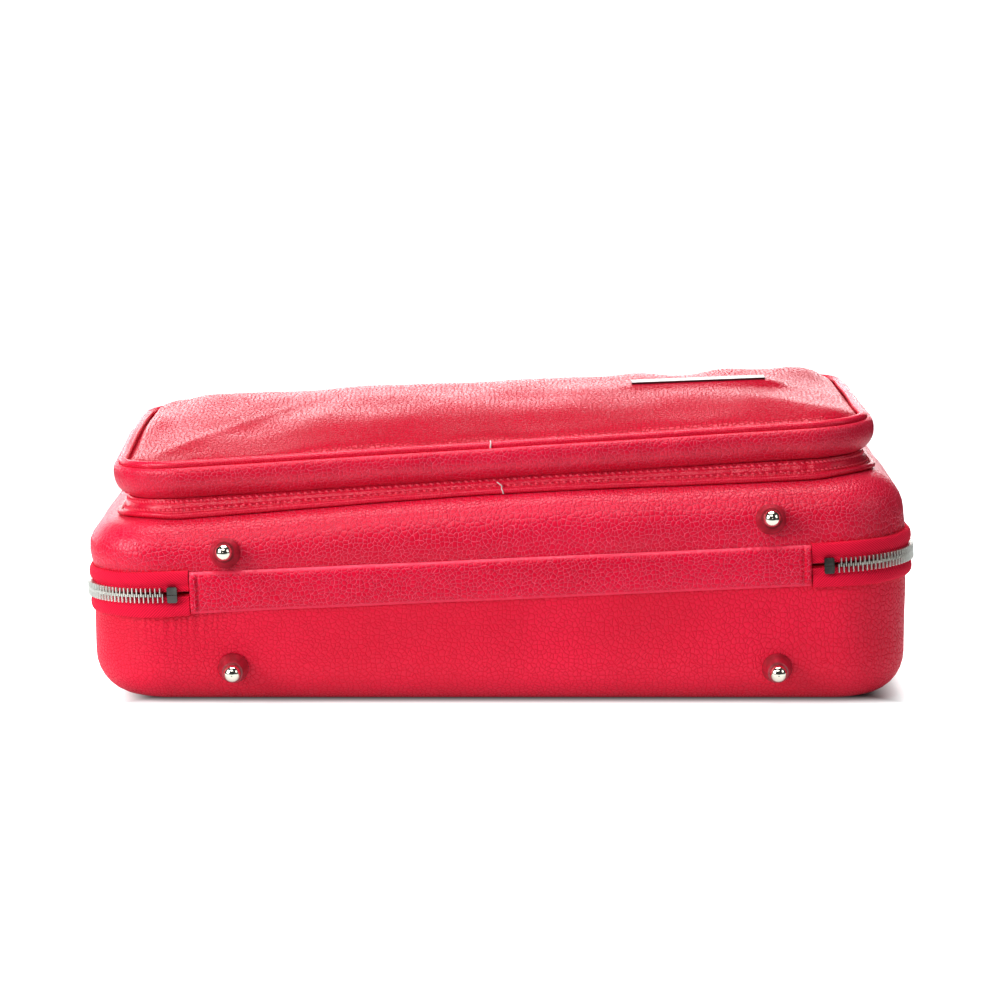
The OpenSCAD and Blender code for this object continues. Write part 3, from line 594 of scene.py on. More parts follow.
def shell_sections(path, side, face=0.0, turn_to=None):
    """A cup's section for each place of the path."""
    edge, flat_z = (TRAY_EDGE, 0.0) if side < 0 else (LID_EDGE, LID_RISE)
    short = side * LINING_SHORT if turn_to is None else 0.0
    rims = [rim_height(x + out_x * face, side) + short for x, y, out_x, out_y, s in path]
    return np.array([cup_profile(face, edge, flat_z, rim, turn_to) for rim in rims])


def inset(x, y, half_x, half_y, corner):
    """How far inside the edge of a rounded rectangle a place lies."""
    qx, qy = abs(x) - (half_x - corner), abs(y) - (half_y - corner)
    past = np.hypot(np.clip(qx, 0, None), np.clip(qy, 0, None))
    return corner - past - np.minimum(np.maximum(qx, qy), 0)


def shoulder_height(x, y):
    """Height of the lid's leather in the lid's own frame, where its shoulder curves."""
    fall = np.clip(LID_EDGE - inset(x, y, HALF_X, HALF_Y, CORNER), 0, LID_EDGE)
    return LID_RISE - LID_EDGE + np.sqrt(LID_EDGE**2 - fall**2)


def front_bow(x, y):
    """The lid's front edge is padded: it rises in the middle of the hinge side."""
    return 2.2 * near(x, -2, 84) * ease(-y, 52, 68)


PLEATS_FROM, PLEATS_LONG, BAND_REACH = front_at(-92), 75, 8.2
tray_path = wall_path(fine=[(PLEATS_FROM, PLEATS_FROM + PLEATS_LONG, 0.55)])
tray_section = shell_sections(tray_path, -1, turn_to=SKIN_TURN)
where = spots(tray_path, tray_section)
x, y, z = np.moveaxis(where, -1, 0)
s = tray_path[:, 4]
below_band = CLOSING_Z + x * tan(BAND_LEAN) - BAND_REACH - z
below = np.clip(below_band, 0, 50)
fade = np.exp(-below / 3.0) * 0.6 + np.exp(-below / 11) * 0.2
pleat = (abs(np.sin(s * pi / 2.7 + 0.9 * np.sin(s * 0.55))) - 0.85)[:, None]
pleat = pleat * near(s, front_at(-114), 15)[:, None] * ease(below_band, -1.5, 0.5) * fade
swell = (0.28 * unevenness(where, 46) - 0.12) * (ease(z, 3, 9) * (1 - ease(z, 28, 36)))
tray_section[..., 0] += np.minimum(swell + pleat, 0.3)
tray_skin = sweep("tray_skin", tray_path, tray_section, in_tray, ring=False)
dress(tray_skin, tray_leather, "tray", "leather", "tray_leather")

lid_path = wall_path()
lid_section = shell_sections(lid_path, 1, turn_to=SKIN_TURN)
where = spots(lid_path, lid_section)
x, y, z = np.moveaxis(where, -1, 0)
left_pad = near(z, 20, 7) * ease(-x, 110, 140) * (1 - ease(-lid_section[..., 0], 7, 11))
swell = (0.34 * unevenness(where, 40, 2.0) - 0.1) * (ease(z, 7, 11) * (1 - ease(z, 22, 25)))
lid_section[..., 0] += swell + 1.9 * left_pad * ease(z, 8, 14)
lid_section[..., 1] += front_bow(x, y) * ease(z, 13, 25) + 1.5 * left_pad * ease(z, 12, 20)
lid_skin = sweep("lid_skin", lid_path, lid_section, in_lid, ring=False)
dress(lid_skin, pebbled, "lid", "leather", "lid_leather")

for side, name, body, place, node in ((-1, "tray_lining_cloth", "tray", in_tray, "tray_lining"),
                                      (1, "lid_lining_cloth", "lid", in_lid, "lid_lining")):
    lining_section = shell_sections(lid_path, side, face=-LINING_IN)
    lining = sweep(name, lid_path, lining_section, place, ring=False)
    dress(lining, wine_plush, body, "cloth", node)
print("skin faces:", len(tray_skin.data.polygons), len(lid_skin.data.polygons))

# %% [markdown]
# The zip tape is cloth sewn over a soft cord, so each half bulges and stands
# proud of the leather, with a thin beaded edge that grips the teeth. It is a
# sweep along the part of the wall that the hinge strip leaves free.

# %% Zip tapes
TAPE_HALF = [(-0.3, 8.0), (0.45, 8.12), (1.1, 8.05), (1.6, 7.7), (1.98, 7.0), (2.16, 6.1),
             (2.18, 5.2), (2.0, 4.3), (1.66, 3.6), (1.3, 3.15), (1.18, 2.8), (1.18, 1.5),
             (1.36, 1.3), (1.38, 1.05), (1.2, 0.92), (0.2, 0.92), (0.05, 2.0), (-0.3, 3.0)]
tape_first, tape_last = front_at(-STRIP_END - 0.3), ROUND_TRIP + front_at(STRIP_END + 0.3)
tape_marks = np.r_[np.arange(tape_first, ROUND_TRIP, 1.4),
                   np.arange(ROUND_TRIP, tape_last, 1.4), tape_last]
tape_path = np.array([[*wall_point(s % ROUND_TRIP), s] for s in tape_marks])
for side, name, body, node in ((-1, "zip_tape_below", "tray", "zip_tape_lower"),
                               (1, "zip_tape_above", "lid", "zip_tape_upper")):
    half = np.array([(d, side * z) for d, z in TAPE_HALF])
    section = np.broadcast_to(half, (len(tape_path), *half.shape)).copy()
    where = spots(tape_path, section)
    proud = ease(section[..., 0], 1.0, 1.8)
    section[..., 0] += 0.14 * unevenness(where, 22, side) * proud - 0.1 * proud
    edge_share = ease(abs(section[..., 1]), 4, 8)
    section[..., 1] += 0.22 * unevenness(where, 30, 3 * side) * edge_share
    tape = sweep(name, tape_path, section, in_band, sharp=60)
    dress(tape, tape_cloth, body, "tape", node)
print("tape length:", round(tape_path[-1, 4] - tape_path[0, 4]), "mm each")

# %% [markdown]
# The hinge strip is one piece of leather that joins lid and tray along the
# back. Its long edges are folded under, and at each end a narrow fold stands
# up behind a sewn groove. It has to bend when the lid opens, so it is one
# mesh with close rows near the pivot line.

# %% Hinge strip
rim_rows = np.array([6.3, 7.0, 7.35, STRIP_HALF])
rows = np.r_[-rim_rows[::-1], np.arange(-5.4, -3.2, 1.0), np.arange(-3.0, 3.1, 0.5),
             np.arange(3.6, 5.5, 1.0), rim_rows]
end_columns = np.array([0, 0.25, 0.7, 1.4, 1.9, 2.3, 2.7, 3.2, 4.0]) - STRIP_END
columns = np.r_[end_columns, np.arange(-105, 105.1, 1.75), -end_columns[::-1]]
x, z = np.meshgrid(columns, rows, indexing="ij")
into = STRIP_END - abs(x)
edge = ease(STRIP_HALF - abs(z), -0.1, 2.1) ** 0.5
fold = (1 - ease(into, 1.9, 2.35)) * 0.62 * ease(into, -0.3, 0.5)
groove = near(into, 2.55, 0.4) * 0.55
belly = 0.18 * np.cos(z / STRIP_HALF * pi / 2) * ease(into, 3, 8)
waves = 0.16 * unevenness(stacked(x, 0, z), 34, 1.0) * ease(into, 3, 9)
out = (1.75 + fold - groove + belly + waves) * edge + 0.05
x = x + 0.02 * z * (x > 0)
z = z * (1 + 0.015 * unevenness(stacked(x, 0, 0), 60))
face, back = stacked(x, -HALF_Y - out, z), stacked(x, -HALF_Y - 0.02, z)
points = np.concatenate([face, back[:, ::-1]], 1)
across = np.concatenate([z[0], z[0] + 40])
strip = join_rows("hinge_strip", in_band(points), False, True, x[:, 0], across, sharp=60)
strip.data.materials.append(strip_leather)
pivot = Vector(in_band((0, -HALF_Y - PIVOT_OUT, 0)) / 1000)
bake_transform(strip)
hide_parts("hinge_strip_lower", "hinge_strip_upper")
print("strip:", len(columns), "columns by", len(rows), "rows")

# %% [markdown]
# The pocket on the lid is sewn from five pieces: a thin piping round its
# foot, an upright stitched flange, a soft wall that bellies out over it, a
# thicker piping, and the padded top. Sewn leather wanders, so each ring gets
# its own unevenness. The wall is fuller between the corners than at them.
# Pipings and flange are of smoother leather, so that the stitches stand out.

# %% Pocket walls and piping
LOWER_ROW_Z, UPPER_ROW_Z = 29.7, 32.7
FLANGE_Z, FLANGE_HIGH = 27.3, 6.1
BELLY_IN, BELLY_R = -16.6, 8.0
pocket_path = wall_path(1.7, POCKET_CORNER)


def round_section(d, z, r, count=12):
    return np.array([(d + r * cos(a), z + r * sin(a)) for a in around(count)])


def rear_left_lift(x, y):
    """The full pocket stands a little higher at its rear left corner."""
    return 4.0 * ease(-x, 40, 135) * ease(y, -62, 20)


def foot_lift(where, section):
    """Lifts the pocket's foot with the lid's leather under it, less towards its top."""
    x, y = where[..., 0], where[..., 1]
    low = 1 - ease(section[..., 1], BASE_PIPING_Z, FOOT_TOP_Z)
    lift = shoulder_height(x, y) - shoulder_height(0.0, HALF_Y + section[..., 0])
    return stacked(0, lift.clip(-0.2, 1.5) * low + front_bow(x, y) * (0.35 + 0.65 * low))


def lid_ring(name, section, finish, node, give, size, shift, lift):
    """A ring of the pocket. give, size and shift set its unevenness, lift its own form."""
    section = np.broadcast_to(section, (len(pocket_path), *section.shape)).copy()
    middle = spots(pocket_path, section.mean(1, keepdims=True))
    section[..., 0] += give * unevenness(middle, size, shift)
    section[..., 1] += 0.7 * give * unevenness(middle, size * 1.3, shift + 2)
    section += lift(spots(pocket_path, section), section)
    made = sweep(name, pocket_path, section, in_lid, sharp=60)
    return dress(made, finish, "lid", "leather", node)


def flange_face(z):
    """How far outside the wall leather the leaning flange stands at a height."""
    return -10.9 - 2.4 * ((z - FLANGE_Z) / FLANGE_HIGH) ** 1.3


def flange_section():
    """The stitched flange: it leans in, and each row of stitches pulls it into a groove."""
    z = np.linspace(FLANGE_Z, FLANGE_Z + FLANGE_HIGH, 17)
    d = flange_face(z) - (0.3 * near(z, LOWER_ROW_Z, 0.45) + 0.3 * near(z, UPPER_ROW_Z, 0.45))
    edge = [(-13.5, 33.9), (-14.0, 34.05), (-15.3, 34.0), (-14.7, 32.8), (-13.6, 30.0),
            (-13.2, 27.3)]
    return np.array(list(zip(d, z)) + edge)


def flange_puckers(where, section):
    """Small upright folds in the flange, deeper near its front corners."""
    s = pocket_path[:, 4][:, None]
    at_right, at_left = front_at(108, POCKET_CORNER), front_at(-108, POCKET_CORNER)
    depth = 0.10 + 0.28 * near(s, at_right, 17) + 0.16 * near(s, at_left, 14)
    fold = np.sin(s * 2 * pi / 5.3) * 0.6 + np.sin(s * 2 * pi / 8.9 + 1) * 0.4
    return stacked(fold * depth * ease(section[..., 1], 28, 31), 0) + foot_lift(where, section)


def belly_section():
    """The pocket wall: under the belly, round it and up to the seam under the top piping."""
    bend = np.radians([-74, -65, -56, -46, -36, -26, -16, -6, 4, 12, 18, 23])
    arc = [(BELLY_IN + BELLY_R * cos(a), BELLY_Z + BELLY_R * sin(a)) for a in bend]
    top = [(-9.75, 45.3), (-10.5, 45.6), (-11.7, 45.4), (-13.5, 44.9), (-17.0, WALL_TOP_Z)]
    back = [(-17.0, 43.7), (-12.6, 43.7), (-11.0, 42.3), (-10.7, 40.2), (-11.6, 37.6),
            (-13.6, 35.2), (-15.6, 33.8), (-15.6, 33.3)]
    return np.array([(-14.3, 33.3)] + arc + top + back)


def belly_give(where, section):
    """Fuller along the straights, pinched at the corners, with soft dents."""
    z = section[..., 1]
    corner = (abs(pocket_path[:, 2] * pocket_path[:, 3]) * 2)[:, None]
    bulge = np.clip(1 - abs(z - 40.5) / 6.5, 0, 1)
    dents = 0.5 * unevenness(where, 30, 4.0) + 0.22 * unevenness(where, 13, 1.0)
    lift = rear_left_lift(where[..., 0], where[..., 1]) * ease(z, FOOT_TOP_Z, 43)
    pinch = 0.45 * ease(corner, 0.2, 1) * bulge * ease(z, 36, 41)
    return stacked(bulge * (dents - 0.35 * corner), lift - pinch)


def piping_lift(where, section):
    return stacked(0, rear_left_lift(where[..., 0], where[..., 1]))


lid_ring("pocket_foot_piping", round_section(-10.1, BASE_PIPING_Z, 1.15), piping_leather,
         "pocket_base_piping", 0.12, 26, 0.5, foot_lift)
lid_ring("pocket_flange", flange_section(), piping_leather, "pocket_foot", 0.1, 40, 1.5,
         flange_puckers)
lid_ring("pocket_wall", belly_section(), pebbled, "pocket_gusset", 0.12, 50, 2.5, belly_give)
lid_ring("pocket_top_piping_cord", round_section(-TOP_PIPING_IN, TOP_PIPING_Z, 1.62, 14),
         piping_leather, "pocket_top_piping", 0.22, 42, 3.5, piping_lift)
print("pocket rings have", len(pocket_path), "places each")

# %% [markdown]
# The pocket's top is leather over a thin pad. A flat plate with rounded edges
# would look dead, so a grid of points is laid over its rounded outline, with
# close rows near the seam, and each point gets its own height. The panel
# rises from the seam and swells towards the middle. It carries the forms of
# the real one: an even slope behind the front piping, a slack left end with a
# soft ridge across it, and small waves along the back. Under the name plate
# it is pressed flat.

# %% Padded pocket top
EDGE_STEPS = [0, 0.25, 0.7, 1.3, 2.1, 3.1, 4.4, 6.2, 8.2]  # close rows, from the edge
PANEL_HX, PANEL_HY = HALF_X - PANEL_IN + 0.35, HALF_Y - PANEL_IN + 0.35
PANEL_R = POCKET_CORNER - PANEL_IN + 0.35
SEAM_Z, CROWN, FRONT_CROWN = TOP_PIPING_Z - 0.9, 11.0, 11.5
PLATE_X, PLATE_Y, PLATE_FOOT_Z, PLATE_LEAN = 78.0, 2.0, 55.95, 0.0232


def mound(name, hx, hy, r, height_at, floor_z, place, step=2.3, sharp=60, edge_steps=EDGE_STEPS):
    """A closed mesh over a rounded rectangle. height_at(x, y, inside) gives its top, inside
    being the distance to the edge."""
    def marks(half):
        flat, steps = half - edge_steps[-1], np.array(edge_steps[:-1])
        inner = np.linspace(-flat, flat, int(2 * half / step))
        return np.r_[steps - half, inner, half - steps[::-1]]

    x = marks(hx)
    past = np.clip(abs(x) - (hx - r), 0, r)
    reach = hy - r + np.sqrt(np.clip(r * r - past * past, 0, None))
    x, v = np.meshgrid(x, marks(hy) / hy, indexing="ij")
    y = v * reach[:, None]
    top = stacked(x, y, height_at(x, y, np.clip(inset(x, y, hx, hy, r), 0, None)))
    index = np.arange(x.size).reshape(x.shape)
    rim = np.r_[index[:, 0], index[-1, 1:], index[-2::-1, -1], index[0, -2:0:-1]]
    foot = x.size + np.arange(len(rim))
    quads = stacked(index[:-1, :-1], index[1:, :-1], index[1:, 1:], index[:-1, 1:]).reshape(-1, 4)
    sides = stacked(rim, foot, np.roll(foot, -1), np.roll(rim, -1))
    low = stacked(x.flat[rim], y.flat[rim], floor_z)
    verts = place(np.concatenate([top.reshape(-1, 3), low]))
    faces = quads.tolist() + sides.tolist() + [foot[::-1].tolist()]
    return lay_mesh(name, verts, faces, sharp=sharp)


def panel_height(x, y, inside):
    """Height of the pocket's top in the lid's frame."""
    taper = 1 - 0.28 * x / (HALF_X - PANEL_IN)
    in_front = near(x, 15, 90) * (1 - ease(y, -20, 10))
    rise = 1.2 * ease(inside, -0.4, 3.0 + 5 * in_front)
    fullness = 1.05 - 0.42 * ease(x, -105, -40)
    swell = CROWN * taper * np.sin(pi / 2 * np.clip(inside / 51, 0, 1)) ** fullness
    slope = FRONT_CROWN * taper * (1 - np.exp(-inside / 31))
    swell = swell + (slope - swell) * in_front
    slack = 3.0 * (1 - np.exp(-inside / 12)) + 7.4 * ease(y, -78, 42) * ease(inside, 0, 30)
    swell = swell + (slack - swell) * ease(-x, 30, 92)
    trough = 0.3 * near(y, -51 + 0.02 * x, 8) * near(x, 20, 85) * ease(inside, 1, 6)
    ridge = 0.5 * near((y + 30 - 1.2 * (x + 100)) / 1.56, 0, 4) * near(x, -98, 26)
    back = 0.9 * np.cos((x - 57) * 2 * pi / 34) * near(y, 44, 15) * ease(x, 25, 60)
    back = back + 1.6 * near(x, 117, 14) * near(y, 44, 16)
    soft = 0.45 * unevenness(stacked(x, y, 0), 38, 5.0)
    puckers = 0.16 * np.sin(x * 2 * pi / 6.5) * near(inside, 3.2, 2.2)
    corner = rear_left_lift(x, y) * (1 - 0.8 * ease(inside, 4, 34))
    cushioned = near(inside, 6, 5) * ease(inside, 0, 3)
    corner = corner + 1.6 * ease(-x, 98, 124) * ease(y, -45, 5) * cushioned
    dx, dy = abs(x - PLATE_X), abs(y - PLATE_Y)
    off_plate = 1 - (1 - ease(dx, 26, 38)) * (1 - ease(dy, 6, 14))
    loose = SEAM_Z + rise + swell - trough + puckers + corner
    loose = loose + (ridge + back + soft) * ease(inside, 1, 9) * off_plate
    under_plate = PLATE_FOOT_Z - PLATE_LEAN * (x - PLATE_X)
    return loose + (under_plate - loose) * (1 - ease(dx, 25.5, 36)) * (1 - ease(dy, 5, 14))


panel = mound("pocket_top_pad", PANEL_HX, PANEL_HY, PANEL_R, panel_height,
              TOP_PIPING_Z - 1.55, in_lid)
dress(panel, panel_leather, "lid", "leather", "pocket_panel")
middle_z = float(panel_height(np.array(0.0), np.array(0.0), np.array(60.0)))
print("pocket top rises", round(middle_z - TOP_PIPING_Z, 1), "mm over its piping")

# %% [markdown]
# Stitches are geometry too: each is a short fat thread that comes up, lies on
# the leather and dives in again. They are all the same shape, so a row is one
# mesh made from a list of places with their directions.

# %% Stitches
STITCH_PITCH = 2.5


def stitch_rows(name, rows, body, length=1.75, radius=0.24, slope=0.12):
    """rows: lists of (place, along, outwards) arrays in mm, already in the case's frame."""
    sides, rings = 6, 5
    index = np.arange(rings * sides).reshape(rings, sides)
    ahead = np.roll(index, -1, 1)
    quads = stacked(index[:-1], ahead[:-1], ahead[1:], index[1:]).reshape(-1, 4)
    shape = [*quads, index[0, ::-1], index[-1]]
    verts, faces = [], []
    for at, along, out in rows:
        for p, a, o, w in zip(at, along, out, np.cross(along, out)):
            faces += [(face + len(verts)).tolist() for face in shape]
            for t in np.linspace(-1, 1, rings):
                centre = p + a * t * length / 2 + w * t * slope * length
                centre = centre + o * (0.16 - 0.42 * t * t)
                r = radius * (1 - 0.55 * t * t)
                verts += [centre + r * (cos(b) * w + sin(b) * o) for b in around(sides)]
    return dress(lay_mesh(name, verts, faces, sharp=80), red_thread_painted_highlight, body, "leather")


def row_round_pocket(z, lean):
    """A stitch row in the flange, at a height in the lid's frame, leaning in with it."""
    trip = round_trip(POCKET_CORNER)
    count = int(trip / STITCH_PITCH)
    places = [wall_point((k + 0.5) * trip / count, POCKET_CORNER) for k in range(count)]
    x, y, out_x, out_y = np.array(places).T
    d = flange_face(z) - 0.3
    at = stacked(x + out_x * d, y + out_y * d, z)
    at[:, 2] += foot_lift(at, stacked(d, at[:, 2]))[:, 1]
    ahead = stacked(out_y, -out_x, 0)
    out = stacked(out_x * cos(lean), out_y * cos(lean), sin(lean))
    zero = in_lid(np.zeros(3))
    return in_lid(at), in_lid(ahead) - zero, in_lid(out) - zero


flange_rows = [row_round_pocket(LOWER_ROW_Z, radians(20)),
               row_round_pocket(UPPER_ROW_Z, radians(28))]
stitch_rows("flange_stitches", flange_rows, "lid", 1.9, 0.42, 0.22)
print("stitches in the flange:", sum(len(row[0]) for row in flange_rows))

# %% [markdown]
# Two short white threads show where the pipings are joined on the hinge side:
# an upright tick on the upper one, and a small hook on the lower one. Each is
# a bent tube through a few points.

# %% Joint marks
def unit(vectors):
    return vectors / np.linalg.norm(vectors, axis=1)[:, None]


def thread_end(name, points, radius, sides=8):
    """A closed tube of white thread on the lid, along a soft curve through points in mm."""
    line = np.asarray(points, float)
    for _ in range(3):
        cut = np.empty((2 * len(line) - 2, 3))
        cut[0::2] = line[:-1] * 0.75 + line[1:] * 0.25
        cut[1::2] = line[:-1] * 0.25 + line[1:] * 0.75
        line = np.concatenate([line[:1], cut, line[-1:]])
    line = in_lid(line)
    ways = unit(np.gradient(line, axis=0))
    up = unit(np.cross(ways, (0.1, 1.0, 0.2)))
    aside = np.cross(ways, up)
    turns = around(sides)
    upwards, sideways = np.cos(turns)[None, :, None], np.sin(turns)[None, :, None]
    grid = line[:, None] + radius * (upwards * up[:, None] + sideways * aside[:, None])
    made = join_rows(name, grid, False, True, distances(line), turns, sharp=80)
    return dress(made, white_thread, "lid", "leather")


front = -HALF_Y
tick = [(-0.8, front + 10.6, 45.2), (-0.7, front + 10.55, 46.2), (-0.5, front + 11.1, 47.3),
        (-0.6, front + 12.3, 48.05)]
hook = [(0.8, front + 11.3, 33.2), (1.8, front + 11.0, 32.4), (2.6, front + 10.7, 31.6),
        (2.2, front + 9.4, 31.0), (2.7, front + 8.75, 30.2), (2.9, front + 8.8, 29.2)]
thread_end("upper_joint_mark", tick, 0.28)
thread_end("lower_joint_mark", hook, 0.26)
print("joint marks on the hinge side: 2")

# %% [markdown]
# On the far side hangs the carrying handle: a rolled leather grip over a
# padded core, held by two wire rings in leather loops. The roll is turned
# like a baluster and then given a seam ridge on its underside. The loops are
# real bent straps, each a strip carried round its side profile.

# %% Handle
HANDLE_SPAN, HANDLE_Z, DROOP, LOOP_R = 104.0, 22.0, radians(24), 3.7
RING_REACH, GRIP_REACH, GRIP_R, GRIP_ENDS = 12.0, 30.0, 7.5, 60.5
TAB_HALF, TAB_TOP, TAB_T, SEAM_ANGLE = 8.5, 12.5, 2.0, pi * 1.5


def in_handle(points):
    """From the handle's own frame, with the pivots on x and the grip out along y."""
    x, y, z = np.moveaxis(np.asarray(points, float), -1, 0)
    return stacked(x, HALF_Y + LOOP_R + y * cos(DROOP) + z * sin(DROOP),
                   HANDLE_Z - y * sin(DROOP) + z * cos(DROOP))


def on_handle_wall(points):
    return points + (0, HALF_Y, HANDLE_Z)


def grip_radius(x):
    """Full in the middle, narrower at the necks and rounded at the ends."""
    reach = abs(x)
    body = GRIP_R - 0.15 + 0.1 * np.cos(x / 9.0) - 1.5 * ease(reach, 41.5, GRIP_ENDS)
    tip = np.sqrt(np.clip(1 - (np.clip(reach - GRIP_ENDS, 0, None) / 6.0) ** 2, 0.0, 1))
    return body * np.where(reach > GRIP_ENDS, tip, 1.0)


tip_x = np.array([63, 64.5, 65.6, 66.2, 66.45])
grip_x = np.r_[-tip_x[::-1], np.arange(-61, 61.1, 1.6), tip_x]
turns = around(40)
gx, ga = np.meshgrid(grip_x, turns, indexing="ij")
off_seam = abs(np.angle(np.exp(1j * (ga - SEAM_ANGLE))))
seam = 0.45 * near(off_seam, 0, 0.16) - 0.3 * near(off_seam, 0.3, 0.1)
gr = grip_radius(gx) + 0.12 * unevenness(stacked(gx, 9 * np.cos(ga), 9 * np.sin(ga)), 18)
gr = gr + seam * ease(66 - abs(gx), 0, 8)
grid = in_handle(stacked(gx, GRIP_REACH + gr * np.cos(ga), gr * np.sin(ga)))
grip = join_rows("handle_roll", grid, False, True, grip_x, turns * GRIP_R, sharp=60)
dress(grip, pebbled, "handle", "leather", "handle_grip")


def strap_loop(name, profile, place, centre_x, body, *replaced):
    """A strap bent to a side profile of (y, z) points, with soft long edges."""
    profile = np.asarray(profile, float)
    across = np.array([-1, -0.985, -0.93, -0.5, 0, 0.5, 0.93, 0.985, 1]) * TAB_HALF
    thinner = [0.5, 0.2, 0, 0, 0, 0, 0, 0.2, 0.5]
    ahead = np.roll(profile, -1, 0) - np.roll(profile, 1, 0)
    normal = unit(stacked(ahead[:, 1], -ahead[:, 0]))
    if np.sum((profile - profile.mean(0)) * normal) < 0:
        normal = -normal
    grid = np.array([stacked(centre_x + x, *(profile - normal * t).T)
                     for x, t in zip(across, thinner)])
    made = join_rows(name, place(grid), False, True, across, distances(profile), sharp=60)
    return dress(made, pebbled, body, "leather", *replaced)


def arc_points(cy, r, start, end, count):
    return [(cy + r * cos(a), r * sin(a)) for a in np.radians(np.linspace(start, end, count))]


def stitch_line(x, y, z, along):
    """A straight row of stitches on the handle side: places, their way and the way out."""
    at = stacked(x, y, z)
    return at, np.broadcast_to(along, at.shape), np.broadcast_to((0, 1.0, 0), at.shape)


tab_profile = [(0.05, TAB_TOP), (1.3, TAB_TOP + 0.2), (TAB_T, TAB_TOP - 0.6), (TAB_T, 8.0),
               (2.05, 5.6), (2.5, 4.4), *arc_points(LOOP_R, LOOP_R, 100, -100, 18), (2.3, -4.1),
               (TAB_T, -4.5), (1.2, -5.0), (0.05, -4.9), (0.05, -2.0), (0.05, 4.0), (0.05, 8.0)]
neck_side = [(18.0, 4.9), (24.0, 5.5), (29.0, 5.6), (33.0, 4.5)]
neck_profile = arc_points(RING_REACH, LOOP_R, 100, 260, 15) + [(y, -z) for y, z in neck_side]
neck_profile += neck_side[::-1]
tab_rows = []
for side, end, replaced in ((-1, "left", ["handle_tabs"]), (1, "right", [])):
    cx = side * HANDLE_SPAN / 2
    strap_loop("handle_tab_" + end, tab_profile, on_handle_wall, cx, "tray", *replaced)
    strap_loop("handle_neck_" + end, neck_profile, in_handle, cx, "handle")
    level = cx + np.arange(-6.3, 6.4, 2.52)
    tab_rows.append(stitch_line(level, HALF_Y + TAB_T, HANDLE_Z + 10.9, (1.0, 0, 0)))
    for x in (-7.0, 7.0):
        rising = HANDLE_Z + np.arange(5.6, 10.4, 2.4)
        tab_rows.append(stitch_line(cx + x, HALF_Y + TAB_T, rising, (0, 0, 1.0)))
stitch_rows("handle_tab_stitches", tab_rows, "tray")

xs = np.arange(-56, 56.1, 2.8)
zero = in_handle(np.zeros(3))
seam_rows = []
for tilt in (-0.42, 0.42):
    a, r = SEAM_ANGLE + tilt, grip_radius(xs) + 0.05
    at = in_handle(stacked(xs, GRIP_REACH + r * cos(a), r * sin(a)))
    out = np.broadcast_to(in_handle((0, cos(a), sin(a))) - zero, at.shape)
    seam_rows.append((at, np.broadcast_to((1.0, 0, 0), at.shape), out))
stitch_rows("handle_grip_stitches", seam_rows, "handle")
print("handle pieces ready, stitch rows:", len(tab_rows) + len(seam_rows))

# %% [markdown]
# Inside, the tray is filled by blocks under short-pile plush, with a trough
# for each joint of the oboe and a bay for reeds. Plush has no sharp edges. A
# field of heights over the floor plan is worked out first, blurred a little,
# and then laid as one cloth: that rounds every edge as the pile would.

# %% Plush inlay and lid cushion
INNER_X, INNER_Y = HALF_X - LINING_IN - 0.15, HALF_Y - LINING_IN - 0.15
TROUGH_Z, INLAY_DROP, BAY_FLOOR_Z, SCOOP_R, UNCUT = 30.7, 6.0, 10.2, 24.0, 99.0
LOWER_Y, UPPER_Y, BELL_Y = -48.25, -4.5, 43.75


def blurred(field, passes):
    """Each height becomes a mean with its neighbours, several times."""
    for _ in range(passes):
        wide = np.pad(field, 1, mode="edge")
        field = (4 * field + wide[:-2, 1:-1] + wide[2:, 1:-1]
                 + wide[1:-1, :-2] + wide[1:-1, 2:]) / 8
    return field


def inlay_height(x, y, inside):
    """Height of the inlay: the lowest of its top and all cuts, rounded as by the pile."""
    high = CLOSING_Z + x * tan(BAND_LEAN) - INLAY_DROP / cos(BAND_LEAN)

    def round_trough(mid, radius, half_len, mid_x=0.0):
        depth = TROUGH_Z - np.sqrt(np.clip(radius**2 - (y - mid) ** 2, 0, None))
        return np.where((abs(y - mid) < radius) & (abs(x - mid_x) < half_len), depth, UNCUT)

    bell_r = 23 - (23 - 14.95) * np.clip((x + 132.5) / 118, 0, 1)
    bay = (abs(x - 74.5) < 56) & (abs(y - BELL_Y) < 20)
    scoop = CLOSING_Z - np.sqrt(np.clip(SCOOP_R**2 - x**2, 0, None))
    scooped = (abs(x) < SCOOP_R) & (y > LOWER_Y) & (y < UPPER_Y)
    cuts = [round_trough(LOWER_Y, 18.5, 127), round_trough(UPPER_Y, 16.0, 120),
            round_trough(BELL_Y, bell_r, 59, -73.5), np.where(bay, BAY_FLOOR_Z, UNCUT),
            np.where(scooped, scoop, UNCUT)]
    seams = 0.7 * near(y, -24.9, 0.7) + 0.7 * near(y, 16.1, 0.7)
    seams = seams + 0.7 * near(x, 2.0, 0.7) * (y > 16.1)
    field = blurred(np.minimum.reduce([high] + cuts), 3)
    field = field - seams - 0.8 * (1 - ease(inside, 0, 2.2))
    return field + 0.12 * unevenness(stacked(x, y, field), 9)


inlay = mound("plush_inlay", INNER_X, INNER_Y, CORNER - LINING_IN, inlay_height, LINING_IN + 0.6,
              in_tray, step=1.25, sharp=75, edge_steps=[0, 0.4, 1.0, 1.8, 2.8])
dress(inlay, wine_plush, "tray", "cloth", "lower_joint_bed", "upper_joint_bed", "bell_bed",
      "reed_bed")


def cushion_height(x, y, inside):
    """The lid's cushion, upside down: full in the middle and thin at its edge."""
    swell = 5.0 * np.sin(pi / 2 * np.clip(inside / 44, 0, 1)) ** 0.8
    swell = swell + 4.6 * ease(inside, -0.6, 5.0)
    return swell + 0.25 * unevenness(stacked(x, y, 0), 30, 2.0)


def under_lid(points):
    return in_lid(stacked(points[..., 0], points[..., 1], LID_RISE - LINING_IN - points[..., 2]))


